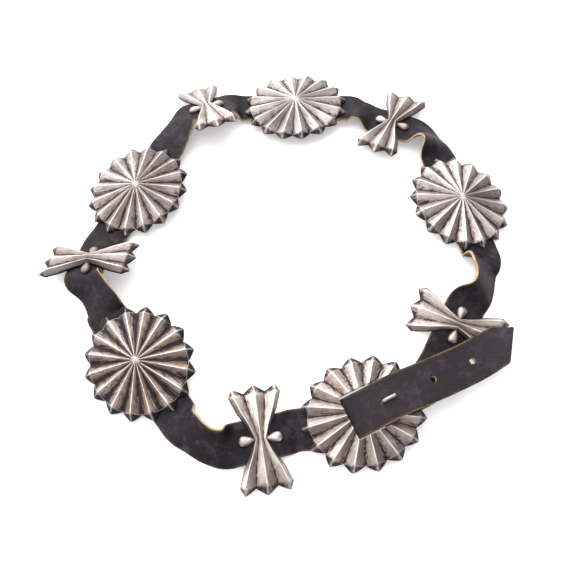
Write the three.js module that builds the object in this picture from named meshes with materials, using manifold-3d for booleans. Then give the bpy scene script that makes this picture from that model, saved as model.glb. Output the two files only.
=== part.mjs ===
// A silver concho belt, closed and lying on a table. A leather strap carries four oval fluted
// conchos and five butterfly plates, and a fluted buckle whose hook tongue holds the free end.
// Millimetres, +Z up, +Y away from the front. Seen from above, the strap runs counter-clockwise
// from the buckle's bar round the waist, up through the buckle and over it to its pointed end.
import * as THREE from 'three';
import Module from 'manifold-3d';

const library = await Module();
library.setup();

// Driving dimensions
const fit_gap = 0.3;
const round_gap = 0.36;
const loop_radius = 127;
const strap_width = 25.4;
const strap_thickness = 2.2;
const strap_bevel = 0.35;
const point_inner_cut = 12.5;
const point_outer_cut = 18;
const point_inward = 4.5;
const point_width = 1.4;
const hole_diameter = 3.8;
const hole_spacing = 31;
const last_hole_to_point = 37;
const flap_length = 26;
const fold_run = 10;

const sheet_thickness = 1.2;
const rim_height = 1.0;
const flute_count = 16;
const concho_length = 76;
const concho_breadth = 68;
const concho_height = 9;
const concho_shoulder_height = 5.2;
const buckle_length = 77;
const buckle_breadth = 68.5;
const buckle_height = 9;
const buckle_shoulder_height = 5.2;
const opening_length = 27;
const opening_offset = 3.5;
const opening_side_room = 0.9;
const bar_diameter = 3;
const bar_offset = 12;
const bar_drop = 1.5;

const butterfly_length = 63.5;
const butterfly_tip_spread = 26.5;
const butterfly_corner_spread = 31;
const butterfly_height = 5;
const drop_reach = 13;
const drop_width = 8.4;
const drop_height = 3;

const keeper_width = 8;
const keeper_thickness = 0.9;
const keeper_side_room = 1.2;

const tongue_wire = 2.2;
const tongue_reach = 7;
const rivet_stem = 3;
const rivet_head = 5;
const rivet_head_height = 0.7;
const rivet_offset = 14;

const strap_step = 6.5;
const path_spare = 40;

const silver = { color: 0xb9aea6, roughness: 0.34, metalness: 0.95 };
const dull_silver = { color: 0x9d928a, roughness: 0.42, metalness: 0.92 };
const leather = { color: 0x2b2528, roughness: 0.62, metalness: 0 };

// Plates on the strap. turn: degrees round the waist from +X; reach: share of loop_radius;
// heading: degrees that the strap there is turned from the loop's own direction; twist: degrees
// that the plate has turned on the strap; lean: degrees that the inner side is raised; pitch:
// degrees that the forward side is raised.
const plates = [
  { name: 'butterfly_1', turn: -25.9, reach: 0.970, heading: -2, twist: 5, lean: 6, pitch: 6 },
  { name: 'concho_1', turn: 17.6, reach: 1.011, heading: -2, twist: 5, lean: 5, pitch: 3 },
  { name: 'butterfly_2', turn: 53.4, reach: 1.074, heading: 10, twist: -2, lean: 3, pitch: -7 },
  { name: 'concho_2', turn: 85.2, reach: 0.991, heading: 3, twist: 10, lean: 5, pitch: -2 },
  { name: 'butterfly_3', turn: 114.7, reach: 1.035, heading: -4, twist: 0, lean: 20, pitch: 2 },
  { name: 'concho_3', turn: 153.5, reach: 0.875, heading: 1, twist: -3, lean: 3, pitch: -3 },
  { name: 'butterfly_4', turn: 184.3, reach: 0.983, heading: -14, twist: 4, lean: 11, pitch: 20 },
  { name: 'concho_4', turn: 222.9, reach: 0.924, heading: -6, twist: 1, lean: 10, pitch: -3 },
  { name: 'butterfly_5', turn: 264.8, reach: 1.004, heading: 19, twist: -4, lean: 12, pitch: -3 },
];
const buckle_place = { turn: 293.6, reach: 0.959, heading: 1, twist: 0, lean: 6, pitch: 5 };

// Bends of the strap between plates. after: the plate before the bend; turn and reach as above;
// lean: degrees that the inner edge stands up where the strap turns; lift: share of strap_width
// that the outer edge is off the table.
const bends = [
  { after: 'buckle', turn: -41, reach: 0.992, lean: 4, lift: 0.12 },
  { after: 'butterfly_1', turn: -14, reach: 1.043, lean: 54, lift: 0.02 },
  { after: 'butterfly_1', turn: -6, reach: 1.044, lean: 43, lift: 0.02 },
  { after: 'concho_1', turn: 40.5, reach: 1.118, lean: 43, lift: 0.02 },
  { after: 'butterfly_2', turn: 64, reach: 1.061, lean: 20, lift: 0.03 },
  { after: 'butterfly_3', turn: 126, reach: 1.000, lean: 22, lift: 0.06 },
  { after: 'butterfly_4', turn: 195, reach: 0.972, lean: 44, lift: 0.03 },
  { after: 'butterfly_4', turn: 201, reach: 0.944, lean: 30, lift: 0.06 },
  { after: 'concho_4', turn: 247, reach: 1.060, lean: 46, lift: 0.02 },
  { after: 'concho_4', turn: 254, reach: 1.090, lean: 52, lift: 0.02 },
];

// The strap near the buckle, in the buckle's own frame. forward: share of half the buckle's
// length; inward: share of strap_width; rise: share of strap_width above the buckle's base.
const way_in = [
  { forward: -1.04, inward: 0.33, rise: -0.095 },
  { forward: -0.80, inward: 0.19, rise: -0.080 },
  { forward: -0.57, inward: 0.06, rise: -0.012 },
  { forward: -0.26, inward: 0, rise: 0.083 },
  { forward: 0.44, inward: 0, rise: 0.366 },
  { forward: 0.72, inward: 0, rise: 0.350 },
];
const free_end = [
  { forward: 1.00, inward: -0.02, rise: 0.310, lean: 6 },
  { forward: 1.35, inward: -0.03, rise: 0.215, lean: 8 },
  { forward: 1.95, inward: 0.00, rise: -0.030, lean: 5 },
];
const point_end = { forward: 2.80, inward: 0.15, rise: -0.230, lean: -11 };

// Holes in the free end, as shares of hole_spacing from the tongue
const holes = [0, 1.06, 2];

// Rings of a fluted plate from its middle outwards. crest_reach and valley_reach: share of the
// outline; crest_height: share of the fall from the middle to the shoulder that is still to
// come; valley_height: share of the fall from the middle to the rim that is still to come.
const flute_rings = [
  { crest_reach: 0.14, crest_height: 0.86, valley_reach: 0.13, valley_height: 0.86 },
  { crest_reach: 0.34, crest_height: 0.64, valley_reach: 0.32, valley_height: 0.62 },
  { crest_reach: 0.60, crest_height: 0.34, valley_reach: 0.58, valley_height: 0.34 },
  { crest_reach: 0.86, crest_height: 0.00, valley_reach: 0.82, valley_height: 0.06 },
];
const notch_reach = 0.87;

// Sections of a butterfly from its waist outwards. along: share of half its length; edge: share
// of half the corner spread; crest: share of half the tip spread; heights: share of its height
// above the rim.
const butterfly_sections = [
  { along: 0.00, edge: 0.22, crest: 0.20, side: 0.80, middle: 1.00, valley: 0.58 },
  { along: 0.24, edge: 0.45, crest: 0.41, side: 0.88, middle: 1.00, valley: 0.46 },
  { along: 0.52, edge: 0.78, crest: 0.71, side: 0.92, middle: 0.96, valley: 0.32 },
  { along: 0.79, edge: 0.99, crest: 0.94, side: 0.90, middle: 0.92, valley: 0.16 },
];
const butterfly_tips = { corner: 0.81, notch: 0.85, side_tip: 0.97 };

// Facets of one closed skin
class Skin {
  constructor() {
    this.positions = [];
    this.triangles = [];
  }

  point([x, y, z]) {
    this.positions.push(x, y, z);
    return this.positions.length / 3 - 1;
  }

  ring(points) {
    return points.map((point) => this.point(point));
  }

  face(a, b, c) {
    this.triangles.push(a, b, c);
  }

  // Joins two rings of as many points, with diagonals that meet at the odd points
  band(inner, outer) {
    const count = inner.length;
    for (let i = 0; i < count; i += 1) {
      const next = (i + 1) % count;
      if (i % 2 === 0) {
        this.face(inner[i], outer[i], outer[next]);
        this.face(inner[i], outer[next], inner[next]);
      } else {
        this.face(inner[i], outer[i], inner[next]);
        this.face(outer[i], outer[next], inner[next]);
      }
    }
  }

  fan(centre, ring) {
    for (let i = 0; i < ring.length; i += 1) {
      this.face(centre, ring[i], ring[(i + 1) % ring.length]);
    }
  }

  solid() {
    return solid_of(this.positions, this.triangles);
  }
}

function solid_of(positions, triangles) {
  const mesh = new library.Mesh({
    numProp: 3,
    vertProperties: new Float32Array(positions),
    triVerts: new Uint32Array(triangles),
  });
  const solid = new library.Manifold(mesh);
  if (solid.volume() > 0) return solid;
  const turned = [];
  for (let i = 0; i < triangles.length; i += 3) {
    turned.push(triangles[i], triangles[i + 2], triangles[i + 1]);
  }
  mesh.triVerts.set(turned);
  return new library.Manifold(mesh);
}

// A three.js geometry as a solid, with its shared corners merged
function solid_from(geometry) {
  const source = geometry.index ? geometry.toNonIndexed() : geometry;
  const corners = source.getAttribute('position');
  const seen = new Map();
  const positions = [];
  const triangles = [];
  for (let i = 0; i < corners.count; i += 1) {
    const point = [corners.getX(i), corners.getY(i), corners.getZ(i)];
    const key = point.map((value) => Math.round(value * 1e4)).join();
    if (!seen.has(key)) {
      seen.set(key, positions.length / 3);
      positions.push(...point);
    }
    triangles.push(seen.get(key));
  }
  const kept = [];
  for (let i = 0; i < triangles.length; i += 3) {
    const [a, b, c] = triangles.slice(i, i + 3);
    if (a !== b && b !== c && c !== a) kept.push(a, b, c);
  }
  return solid_of(positions, kept);
}

function geometry_of(solid) {
  const { vertProperties, triVerts } = solid.getMesh();
  const geometry = new THREE.BufferGeometry();
  geometry.setAttribute('position', new THREE.BufferAttribute(new Float32Array(vertProperties), 3));
  geometry.setIndex(new THREE.BufferAttribute(new Uint32Array(triVerts), 1));
  geometry.computeVertexNormals();
  return geometry;
}

function block(x0, x1, y0, y1, z0, z1) {
  const box = new THREE.BoxGeometry(x1 - x0, y1 - y0, z1 - z0);
  box.translate((x0 + x1) / 2, (y0 + y1) / 2, (z0 + z1) / 2);
  return solid_from(box);
}

function degrees(angle) {
  return THREE.MathUtils.degToRad(angle);
}

// Fluted plates
function outline_point(plate, reach, index) {
  const angle = ((index + plate.flute_shift) * Math.PI) / flute_count;
  const x = (plate.length / 2) * reach * Math.cos(angle);
  const y = (plate.breadth / 2) * reach * Math.sin(angle);
  return [x, y];
}

// The outer surface is the upper one; the inner one lies a sheet's thickness below it
function flute_ring(plate, row, depth) {
  const points = [];
  for (let i = 0; i < 2 * flute_count; i += 1) {
    const crest = i % 2 === 0;
    const fall = crest ? plate.height - plate.shoulder_height : plate.height - rim_height;
    const foot = crest ? plate.shoulder_height : rim_height;
    const share = crest ? row.crest_height : row.valley_height;
    const inset = crest ? depth : 0;
    const reach = (crest ? row.crest_reach : row.valley_reach) - inset / plate.length;
    points.push([...outline_point(plate, reach, i), foot + fall * share - depth]);
  }
  return points;
}

function rim_ring(plate, height, inset) {
  const points = [];
  for (let i = 0; i < 2 * flute_count; i += 1) {
    const crest = i % 2 === 0;
    const reach = crest ? 1 - (4.4 * inset) / plate.length : notch_reach - (2 * inset) / plate.length;
    points.push([...outline_point(plate, reach, i), height]);
  }
  return points;
}

function fluted_plate(plate, hollow) {
  const skin = new Skin();
  const top = skin.point([0, 0, plate.height]);
  const rings = flute_rings.map((row) => skin.ring(flute_ring(plate, row, 0)));
  rings.push(skin.ring(rim_ring(plate, rim_height, 0)));
  rings.push(skin.ring(rim_ring(plate, 0, 0)));
  const floor = hollow ? plate.height - sheet_thickness : 0;
  if (hollow) {
    rings.push(skin.ring(rim_ring(plate, 0, sheet_thickness)));
    for (const row of [...flute_rings].reverse()) {
      rings.push(skin.ring(flute_ring(plate, row, sheet_thickness)));
    }
  }
  skin.fan(top, rings[0]);
  for (let i = 1; i < rings.length; i += 1) skin.band(rings[i - 1], rings[i]);
  skin.fan(skin.point([0, 0, floor]), rings[rings.length - 1].slice().reverse());
  return skin.solid();
}

// A strap keeper soldered inside a plate: two legs and a strip under the strap
function keeper(filled_plate, height) {
  const half = keeper_width / 2;
  const side = strap_width / 2 + keeper_side_room;
  const bottom = -(2 * fit_gap + strap_thickness + keeper_thickness);
  let solid = block(-half, half, -side - keeper_thickness, side + keeper_thickness, bottom, bottom + keeper_thickness);
  for (const sign of [-1, 1]) {
    const near = sign * side;
    const far = sign * (side + keeper_thickness);
    const low = Math.min(near, far);
    const high = Math.max(near, far);
    solid = solid.add(block(-half, half, low, high, bottom, 0));
    solid = solid.add(block(-half, half, low, high, 0, height).intersect(filled_plate));
  }
  return solid;
}

function concho() {
  const plate = {
    length: concho_length,
    breadth: concho_breadth,
    height: concho_height,
    shoulder_height: concho_shoulder_height,
    flute_shift: 0,
  };
  const legs = keeper(fluted_plate(plate, false), concho_height);
  return fluted_plate(plate, true).add(legs);
}

// The buckle's ring with its opening, and the bar on two legs that the strap is folded round
function buckle() {
  const plate = {
    length: buckle_length,
    breadth: buckle_breadth,
    height: buckle_height,
    shoulder_height: buckle_shoulder_height,
    flute_shift: 1,
  };
  const side = strap_width / 2 + opening_side_room;
  const start = opening_offset - opening_length / 2;
  const end = opening_offset + opening_length / 2;
  const below = -2 * bar_drop;
  const above = 2 * buckle_height;
  const opening = block(start, end, -side, side, below, above);
  let solid = fluted_plate(plate, true).subtract(opening);
  const filled = fluted_plate(plate, false).subtract(opening);
  const radius = bar_diameter / 2;
  const bar = new THREE.CylinderGeometry(radius, radius, 2 * (side + bar_diameter), 12);
  bar.translate(bar_offset, 0, -bar_drop);
  solid = solid.add(solid_from(bar));
  for (const sign of [-1, 1]) {
    const low = Math.min(sign * side, sign * (side + bar_diameter));
    const high = Math.max(sign * side, sign * (side + bar_diameter));
    const leg_start = bar_offset - radius;
    const leg_end = bar_offset + radius;
    solid = solid.add(block(leg_start, leg_end, low, high, -bar_drop, 0));
    solid = solid.add(block(leg_start, leg_end, low, high, 0, above).intersect(filled));
  }
  return solid;
}

// Butterflies
function butterfly_loop(row, sign) {
  const rise = butterfly_height - rim_height;
  const y = (sign * row.along * butterfly_length) / 2;
  const edge = (row.edge * butterfly_corner_spread) / 2;
  const crest = (row.crest * butterfly_tip_spread) / 2;
  const side = rim_height + rise * row.side;
  const middle = rim_height + rise * row.middle;
  const valley = rim_height + rise * row.valley;
  const inner = edge - sheet_thickness;
  const inner_crest = Math.min(crest, 0.95 * inner);
  const depth = sheet_thickness;
  return [
    [-edge, y, 0], [-edge, y, rim_height], [-crest, y, side], [-crest / 2, y, valley],
    [0, y, middle], [crest / 2, y, valley], [crest, y, side], [edge, y, rim_height],
    [edge, y, 0], [inner, y, 0], [inner_crest, y, side - depth], [inner_crest / 2, y, valley - depth],
    [0, y, middle - depth], [-inner_crest / 2, y, valley - depth], [-inner_crest, y, side - depth],
    [-inner, y, 0],
  ];
}

function butterfly_end(sign) {
  const half = (sign * butterfly_length) / 2;
  const edge = butterfly_corner_spread / 2;
  const crest = butterfly_tip_spread / 2;
  const { corner, notch, side_tip } = butterfly_tips;
  const wall = sheet_thickness;
  const back = sign * wall;
  return [
    [-edge, half * corner, 0], [-edge, half * corner, rim_height],
    [-crest, half * side_tip, rim_height], [-crest / 2, half * notch, rim_height],
    [0, half, rim_height], [crest / 2, half * notch, rim_height],
    [crest, half * side_tip, rim_height], [edge, half * corner, rim_height],
    [edge, half * corner, 0], [edge - 1.4 * wall, half * corner - back, 0],
    [crest - 0.6 * wall, half * side_tip - 2.4 * back, 0], [crest / 2, half * notch - back, 0],
    [0, half - 2.4 * back, 0], [-crest / 2, half * notch - back, 0],
    [-crest + 0.6 * wall, half * side_tip - 2.4 * back, 0], [-edge + 1.4 * wall, half * corner - back, 0],
  ];
}

function butterfly_cap(skin, loop, turned) {
  const faces = [[0, 1, 15], [7, 8, 9]];
  for (let i = 1; i < 7; i += 1) faces.push([i, i + 1, 15 - i], [i, 15 - i, 16 - i]);
  for (const [a, b, c] of faces) {
    if (turned) skin.face(loop[a], loop[c], loop[b]);
    else skin.face(loop[a], loop[b], loop[c]);
  }
}

// Hollow, or filled down to its base, which the keeper's legs are cut to
function butterfly_plate(hollow) {
  const outward = butterfly_sections.slice(1);
  const loops = [butterfly_end(-1)];
  for (const row of [...outward].reverse()) loops.push(butterfly_loop(row, -1));
  loops.push(butterfly_loop(butterfly_sections[0], 1));
  for (const row of outward) loops.push(butterfly_loop(row, 1));
  loops.push(butterfly_end(1));
  const skin = new Skin();
  const outer_points = 9;
  const rings = loops.map((loop) => skin.ring(hollow ? loop : loop.slice(0, outer_points)));
  for (let i = 1; i < rings.length; i += 1) skin.band(rings[i - 1], rings[i]);
  const first = rings[0];
  const last = rings[rings.length - 1];
  if (hollow) {
    butterfly_cap(skin, first, false);
    butterfly_cap(skin, last, true);
  } else {
    const middle = (butterfly_length / 2) * butterfly_tips.corner;
    skin.fan(skin.point([0, -middle, 0]), first);
    skin.fan(skin.point([0, middle, 0]), last.slice().reverse());
  }
  return skin.solid();
}

// One raised drop beside the waist, pointed at the waist and round outside
function waist_drop(sign) {
  const start = (butterfly_sections[0].crest * butterfly_tip_spread) / 2;
  const length = drop_reach - start;
  const sides = 12;
  const levels = [{ size: 1, height: 0 }, { size: 1, height: 0.3 }, { size: 0.66, height: 0.8 }];
  const skin = new Skin();
  const rings = levels.map((level) => {
    const points = [];
    for (let i = 0; i < sides; i += 1) {
      const angle = (2 * Math.PI * i) / sides;
      const share = (1 - Math.cos(angle)) / 2;
      const width = (drop_width / 2) * Math.sin(angle) * (0.35 + 0.65 * share) * level.size;
      const along = start + length * (0.6 + (share - 0.6) * level.size);
      points.push([sign * along, width, drop_height * level.height]);
    }
    return skin.ring(points);
  });
  skin.fan(skin.point([sign * (start + length * 0.6), 0, drop_height]), rings[2]);
  skin.band(rings[2], rings[1]);
  skin.band(rings[1], rings[0]);
  skin.fan(skin.point([sign * (start + length * 0.6), 0, 0]), rings[0].slice().reverse());
  return skin.solid();
}

function butterfly() {
  const legs = keeper(butterfly_plate(false), butterfly_height);
  return butterfly_plate(true).add(legs).add(waist_drop(-1)).add(waist_drop(1));
}

// Places on the loop
function loop_point(turn, reach, height) {
  const angle = degrees(turn);
  const distance = loop_radius * reach;
  return new THREE.Vector3(distance * Math.cos(angle), distance * Math.sin(angle), height);
}

function level_inward(direction) {
  return new THREE.Vector3(-direction.y, direction.x, 0).normalize();
}

function leaning_across(direction, lean) {
  const inward = level_inward(direction);
  const up = direction.clone().cross(inward).normalize();
  return inward.multiplyScalar(Math.cos(degrees(lean))).addScaledVector(up, Math.sin(degrees(lean)));
}

// The frame of the strap where a plate rests on the table with the lowest of its own points or
// of the strap's. The plate itself is turned on the strap by its twist.
function plate_frame(place, plate_points, strap_points) {
  const heading = degrees(place.turn + 90 + place.heading);
  const pitch = degrees(place.pitch);
  const forward = new THREE.Vector3(
    Math.cos(heading) * Math.cos(pitch),
    Math.sin(heading) * Math.cos(pitch),
    Math.sin(pitch),
  );
  const across = leaning_across(forward, place.lean);
  const normal = forward.clone().cross(across);
  const matrix = new THREE.Matrix4().makeBasis(forward, across, normal);
  const twist = new THREE.Matrix4().makeRotationZ(degrees(place.twist));
  const plate_matrix = matrix.clone().multiply(twist);
  const depth = (point, placement) => -point.clone().applyMatrix4(placement).z;
  const plate_depths = plate_points.map((point) => depth(point, plate_matrix));
  const strap_depths = strap_points.map((point) => depth(point, matrix));
  const centre = loop_point(place.turn, place.reach, Math.max(...plate_depths, ...strap_depths));
  matrix.setPosition(centre);
  plate_matrix.setPosition(centre);
  return { matrix, plate_matrix, forward, across, normal };
}

function corner_points(half_length, half_breadth, height) {
  const points = [];
  for (const x of [-half_length, half_length]) {
    for (const y of [-half_breadth, half_breadth]) points.push(new THREE.Vector3(x, y, height));
  }
  return points;
}

function keeper_points() {
  const side = strap_width / 2 + keeper_side_room + keeper_thickness;
  return corner_points(keeper_width / 2, side, -(2 * fit_gap + strap_thickness + keeper_thickness));
}

// Underside corners of the stretch of strap that runs straight under a plate
function strap_points(straight_half) {
  return corner_points(straight_half, strap_width / 2, -(fit_gap + strap_thickness));
}

function rim_points(length, breadth, flute_shift) {
  const rim = rim_ring({ length, breadth, flute_shift }, 0, 0);
  return rim.map((point) => new THREE.Vector3(...point));
}

function concho_points() {
  return [...rim_points(concho_length, concho_breadth, 0), ...keeper_points()];
}

function butterfly_points() {
  const points = keeper_points();
  const half = butterfly_length / 2;
  for (const sign of [-1, 1]) {
    points.push(new THREE.Vector3(0, sign * half, 0));
    for (const side of [-1, 1]) {
      const tip = (side * butterfly_tip_spread) / 2;
      const corner = (side * butterfly_corner_spread) / 2;
      points.push(new THREE.Vector3(tip, sign * half * butterfly_tips.side_tip, 0));
      points.push(new THREE.Vector3(corner, sign * half * butterfly_tips.corner, 0));
    }
  }
  return points;
}

// Depths below the buckle's base: the strap's middle where it leaves the bar, the flap's middle
// under it, and the strap's middle above and below the bar
const strap_depth = fit_gap + strap_thickness / 2;
const flap_depth = strap_depth + strap_thickness + fit_gap;
const fold_radius = bar_diameter / 2 + fit_gap + strap_thickness / 2;

// Lowest points of the fold, its rivet and the strap on its way in, in the buckle's own frame
function buckle_strap_points() {
  const below = -(bar_drop + fold_radius + strap_thickness / 2);
  const rivet_below = -(flap_depth + strap_thickness / 2 + fit_gap + rivet_head_height);
  const points = [
    new THREE.Vector3(bar_offset, -strap_width / 2, below),
    new THREE.Vector3(bar_offset + rivet_offset, -rivet_head / 2, rivet_below),
  ];
  for (const row of way_in.filter((entry) => entry.rise < 0)) {
    const x = (row.forward * buckle_length) / 2;
    const y = (row.inward - 0.5) * strap_width;
    points.push(new THREE.Vector3(x, y, row.rise * strap_width - strap_thickness / 2));
  }
  return points;
}

// The strap's path: knots with a point and, where it is fixed, a direction and the direction
// across the strap towards its inner edge
function plate_knots(frame, half_length) {
  return [-half_length, half_length].map((x) => ({
    point: new THREE.Vector3(x, 0, -strap_depth).applyMatrix4(frame.matrix),
    direction: frame.forward,
    across: frame.across,
    fixed: true,
  }));
}

function buckle_point(frame, x, y, z) {
  return new THREE.Vector3(x, y, z).applyMatrix4(frame.matrix);
}

function buckle_row_knot(frame, row) {
  const point = buckle_point(
    frame,
    (row.forward * buckle_length) / 2,
    row.inward * strap_width,
    row.rise * strap_width,
  );
  return { point, lean: row.lean ?? buckle_place.lean };
}

// The flap under the strap, the fold round the bar, and the strap on its way out
function fold_knots(frame) {
  const knots = [];
  const add = (x, z, direction_x, direction_z) => {
    const direction = frame.forward.clone().multiplyScalar(direction_x);
    direction.addScaledVector(frame.normal, direction_z);
    knots.push({ point: buckle_point(frame, x, 0, z), direction, across: frame.across, fixed: true });
  };
  add(bar_offset + flap_length, -flap_depth, -1, 0);
  add(bar_offset + fold_run, -flap_depth, -1, 0);
  const turns = 8;
  for (let i = 0; i <= turns; i += 1) {
    const angle = (Math.PI * i) / turns;
    const x = bar_offset - fold_radius * Math.sin(angle);
    const z = -bar_drop - fold_radius * Math.cos(angle);
    add(x, z, -Math.cos(angle), Math.sin(angle));
  }
  add(bar_offset + fold_run, -strap_depth, 1, 0);
  add(buckle_length / 2, -strap_depth, 1, 0);
  return knots;
}

function bend_knot(bend) {
  const lean = degrees(bend.lean);
  const height = bend.lift * strap_width + (strap_width / 2) * Math.sin(lean) + (strap_thickness / 2) * Math.cos(lean);
  return { point: loop_point(bend.turn, bend.reach, height), lean: bend.lean };
}

function straight_half(place) {
  return place.name.startsWith('concho') ? concho_length / 2 + fit_gap : drop_reach + fit_gap;
}

function strap_knots(frames) {
  const bends_after = (name) => bends.filter((bend) => bend.after === name).map(bend_knot);
  const knots = [...fold_knots(frames.buckle), ...bends_after('buckle')];
  for (const place of plates) {
    knots.push(...plate_knots(frames[place.name], straight_half(place)));
    knots.push(...bends_after(place.name));
  }
  for (const row of [...way_in, ...free_end, point_end]) knots.push(buckle_row_knot(frames.buckle, row));
  return complete_knots(knots);
}

// Fills in the directions that follow from the knots on both sides
function complete_knots(knots) {
  knots.forEach((knot, i) => {
    if (!knot.direction) {
      const before = knots[Math.max(i - 1, 0)].point;
      const after = knots[Math.min(i + 1, knots.length - 1)].point;
      knot.direction = after.clone().sub(before).normalize();
    }
    if (!knot.across) knot.across = leaning_across(knot.direction, knot.lean);
  });
  knots.forEach((knot, i) => {
    const free = !knot.fixed && i > 0 && i < knots.length - 1;
    knot.twist = new THREE.Vector3();
    if (free) knot.twist.subVectors(knots[i + 1].across, knots[i - 1].across).multiplyScalar(0.5);
  });
  return knots;
}

function blend(a, slope_a, b, slope_b, t) {
  const result = a.clone().multiplyScalar(2 * t ** 3 - 3 * t ** 2 + 1);
  result.addScaledVector(slope_a, t ** 3 - 2 * t ** 2 + t);
  result.addScaledVector(b, -2 * t ** 3 + 3 * t ** 2);
  return result.addScaledVector(slope_b, t ** 3 - t ** 2);
}

function station_between(from, to, t) {
  const chord = from.point.distanceTo(to.point);
  const slope_from = from.direction.clone().multiplyScalar(chord);
  const slope_to = to.direction.clone().multiplyScalar(chord);
  const point = blend(from.point, slope_from, to.point, slope_to, t);
  const step = 1e-3;
  const ahead = blend(from.point, slope_from, to.point, slope_to, Math.min(t + step, 1));
  const behind = blend(from.point, slope_from, to.point, slope_to, Math.max(t - step, 0));
  const along = ahead.sub(behind).normalize();
  const across = blend(from.across, from.twist, to.across, to.twist, t);
  across.addScaledVector(along, -across.dot(along)).normalize();
  return { point, along, across, normal: along.clone().cross(across) };
}

function is_straight(from, to) {
  const chord = to.point.clone().sub(from.point).normalize();
  return Math.min(chord.dot(from.direction), chord.dot(to.direction)) > 0.9999;
}

// The least height at which the strap lies on the table and not in it
function resting_height(station) {
  const edge = Math.abs(station.across.z) * (strap_width / 2);
  return edge + Math.abs(station.normal.z) * (strap_thickness / 2);
}

// Stations along the strap, each with its distance from the flap's end
function strap_stations(knots, step) {
  const stations = [station_between(knots[0], knots[1], 0)];
  for (let i = 1; i < knots.length; i += 1) {
    const chord = knots[i - 1].point.distanceTo(knots[i].point);
    const pieces = is_straight(knots[i - 1], knots[i]) ? 1 : Math.max(1, Math.round(chord / step));
    for (let k = 1; k <= pieces; k += 1) {
      stations.push(station_between(knots[i - 1], knots[i], k / pieces));
    }
  }
  const spare = station_between(knots[knots.length - 2], knots[knots.length - 1], 1);
  spare.point.addScaledVector(spare.along, path_spare);
  stations.push(spare);
  let distance = 0;
  stations.forEach((station, i) => {
    station.point.z = Math.max(station.point.z, resting_height(station));
    if (i > 0) distance += station.point.distanceTo(stations[i - 1].point);
    station.distance = distance;
  });
  return stations;
}

function station_at(stations, distance) {
  const last = stations.findIndex((station) => station.distance >= distance);
  const after = stations[last];
  const before = stations[last - 1];
  const t = (distance - before.distance) / (after.distance - before.distance);
  const mix = (name) => before[name].clone().lerp(after[name], t);
  const across = mix('across').normalize();
  const along = mix('along').normalize();
  return { point: mix('point'), along, across, normal: along.clone().cross(across).normalize(), distance };
}

// A bevelled section of the strap; the end is cut to a blunt point nearer its inner edge
function strap_section(station, length) {
  const left = length - station.distance;
  const inner_share = Math.min(1, left / point_inner_cut);
  const outer_share = Math.min(1, left / point_outer_cut);
  const inner_tip = point_inward + point_width / 2;
  const outer_tip = point_inward - point_width / 2;
  const inner = inner_tip + (strap_width / 2 - inner_tip) * inner_share;
  const outer = outer_tip - (strap_width / 2 + outer_tip) * outer_share;
  const half = strap_thickness / 2;
  const bevel = strap_bevel;
  const outline = [
    [outer, bevel - half], [outer + bevel, -half], [inner - bevel, -half], [inner, bevel - half],
    [inner, half - bevel], [inner - bevel, half], [outer + bevel, half], [outer, half - bevel],
  ];
  return outline.map(([y, z]) => {
    const point = station.point.clone().addScaledVector(station.across, y).addScaledVector(station.normal, z);
    return point.toArray();
  });
}

function rod(point, direction, diameter, length) {
  const cylinder = new THREE.CylinderGeometry(diameter / 2, diameter / 2, length, 16);
  const turn = new THREE.Quaternion().setFromUnitVectors(new THREE.Vector3(0, 1, 0), direction);
  cylinder.applyQuaternion(turn);
  cylinder.translate(point.x, point.y, point.z);
  return solid_from(cylinder);
}

// Distance along the strap at which it passes over the bar on its way out
function tongue_distance(stations, frame) {
  const inverse = frame.matrix.clone().invert();
  const forward = (station) => station.point.clone().applyMatrix4(inverse).x;
  for (let i = stations.length - 1; i > 0; i -= 1) {
    const ahead = forward(stations[i]);
    const behind = forward(stations[i - 1]);
    if (behind <= bar_offset && ahead > bar_offset) {
      const t = (bar_offset - behind) / (ahead - behind);
      return stations[i - 1].distance + t * (stations[i].distance - stations[i - 1].distance);
    }
  }
  throw new Error('the free end does not pass over the bar');
}

function strap(frames) {
  const path = strap_stations(strap_knots(frames), strap_step);
  const first_hole = tongue_distance(path, frames.buckle);
  const length = first_hole + holes[holes.length - 1] * hole_spacing + last_hole_to_point;
  const cuts = [Math.max(point_inner_cut, point_outer_cut), Math.min(point_inner_cut, point_outer_cut), 0];
  const kept = path.filter((station) => station.distance < length - cuts[0] - 1);
  for (const cut of cuts) kept.push(station_at(path, length - cut));
  const skin = new Skin();
  const rings = kept.map((station) => skin.ring(strap_section(station, length)));
  for (let i = 1; i < rings.length; i += 1) skin.band(rings[i - 1], rings[i]);
  skin.fan(skin.point(kept[0].point.toArray()), rings[0]);
  const tip = kept[kept.length - 1];
  const tip_middle = tip.point.clone().addScaledVector(tip.across, point_inward);
  skin.fan(skin.point(tip_middle.toArray()), rings[rings.length - 1].slice().reverse());
  let solid = skin.solid();
  for (const place of holes) {
    const hole = station_at(path, first_hole + place * hole_spacing);
    solid = solid.subtract(rod(hole.point, hole.normal, hole_diameter, 2 * strap_thickness));
  }
  const rivet_hole = buckle_point(frames.buckle, bar_offset + rivet_offset, 0, -flap_depth);
  const rivet_bore = rivet_stem + 2 * round_gap;
  solid = solid.subtract(rod(rivet_hole, frames.buckle.normal, rivet_bore, 4 * strap_thickness));
  return solid.subtract(tongue_slot().transform(frames.buckle.matrix.elements));
}

// The slot in the fold that the tongue's eye turns in
function tongue_slot() {
  const side = tongue_wire / 2 + round_gap;
  const reach = bar_diameter / 2 + 2 * round_gap + tongue_wire;
  return block(bar_offset - reach, bar_offset + reach, -side, side, -bar_drop - reach, -bar_drop + reach);
}

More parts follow.
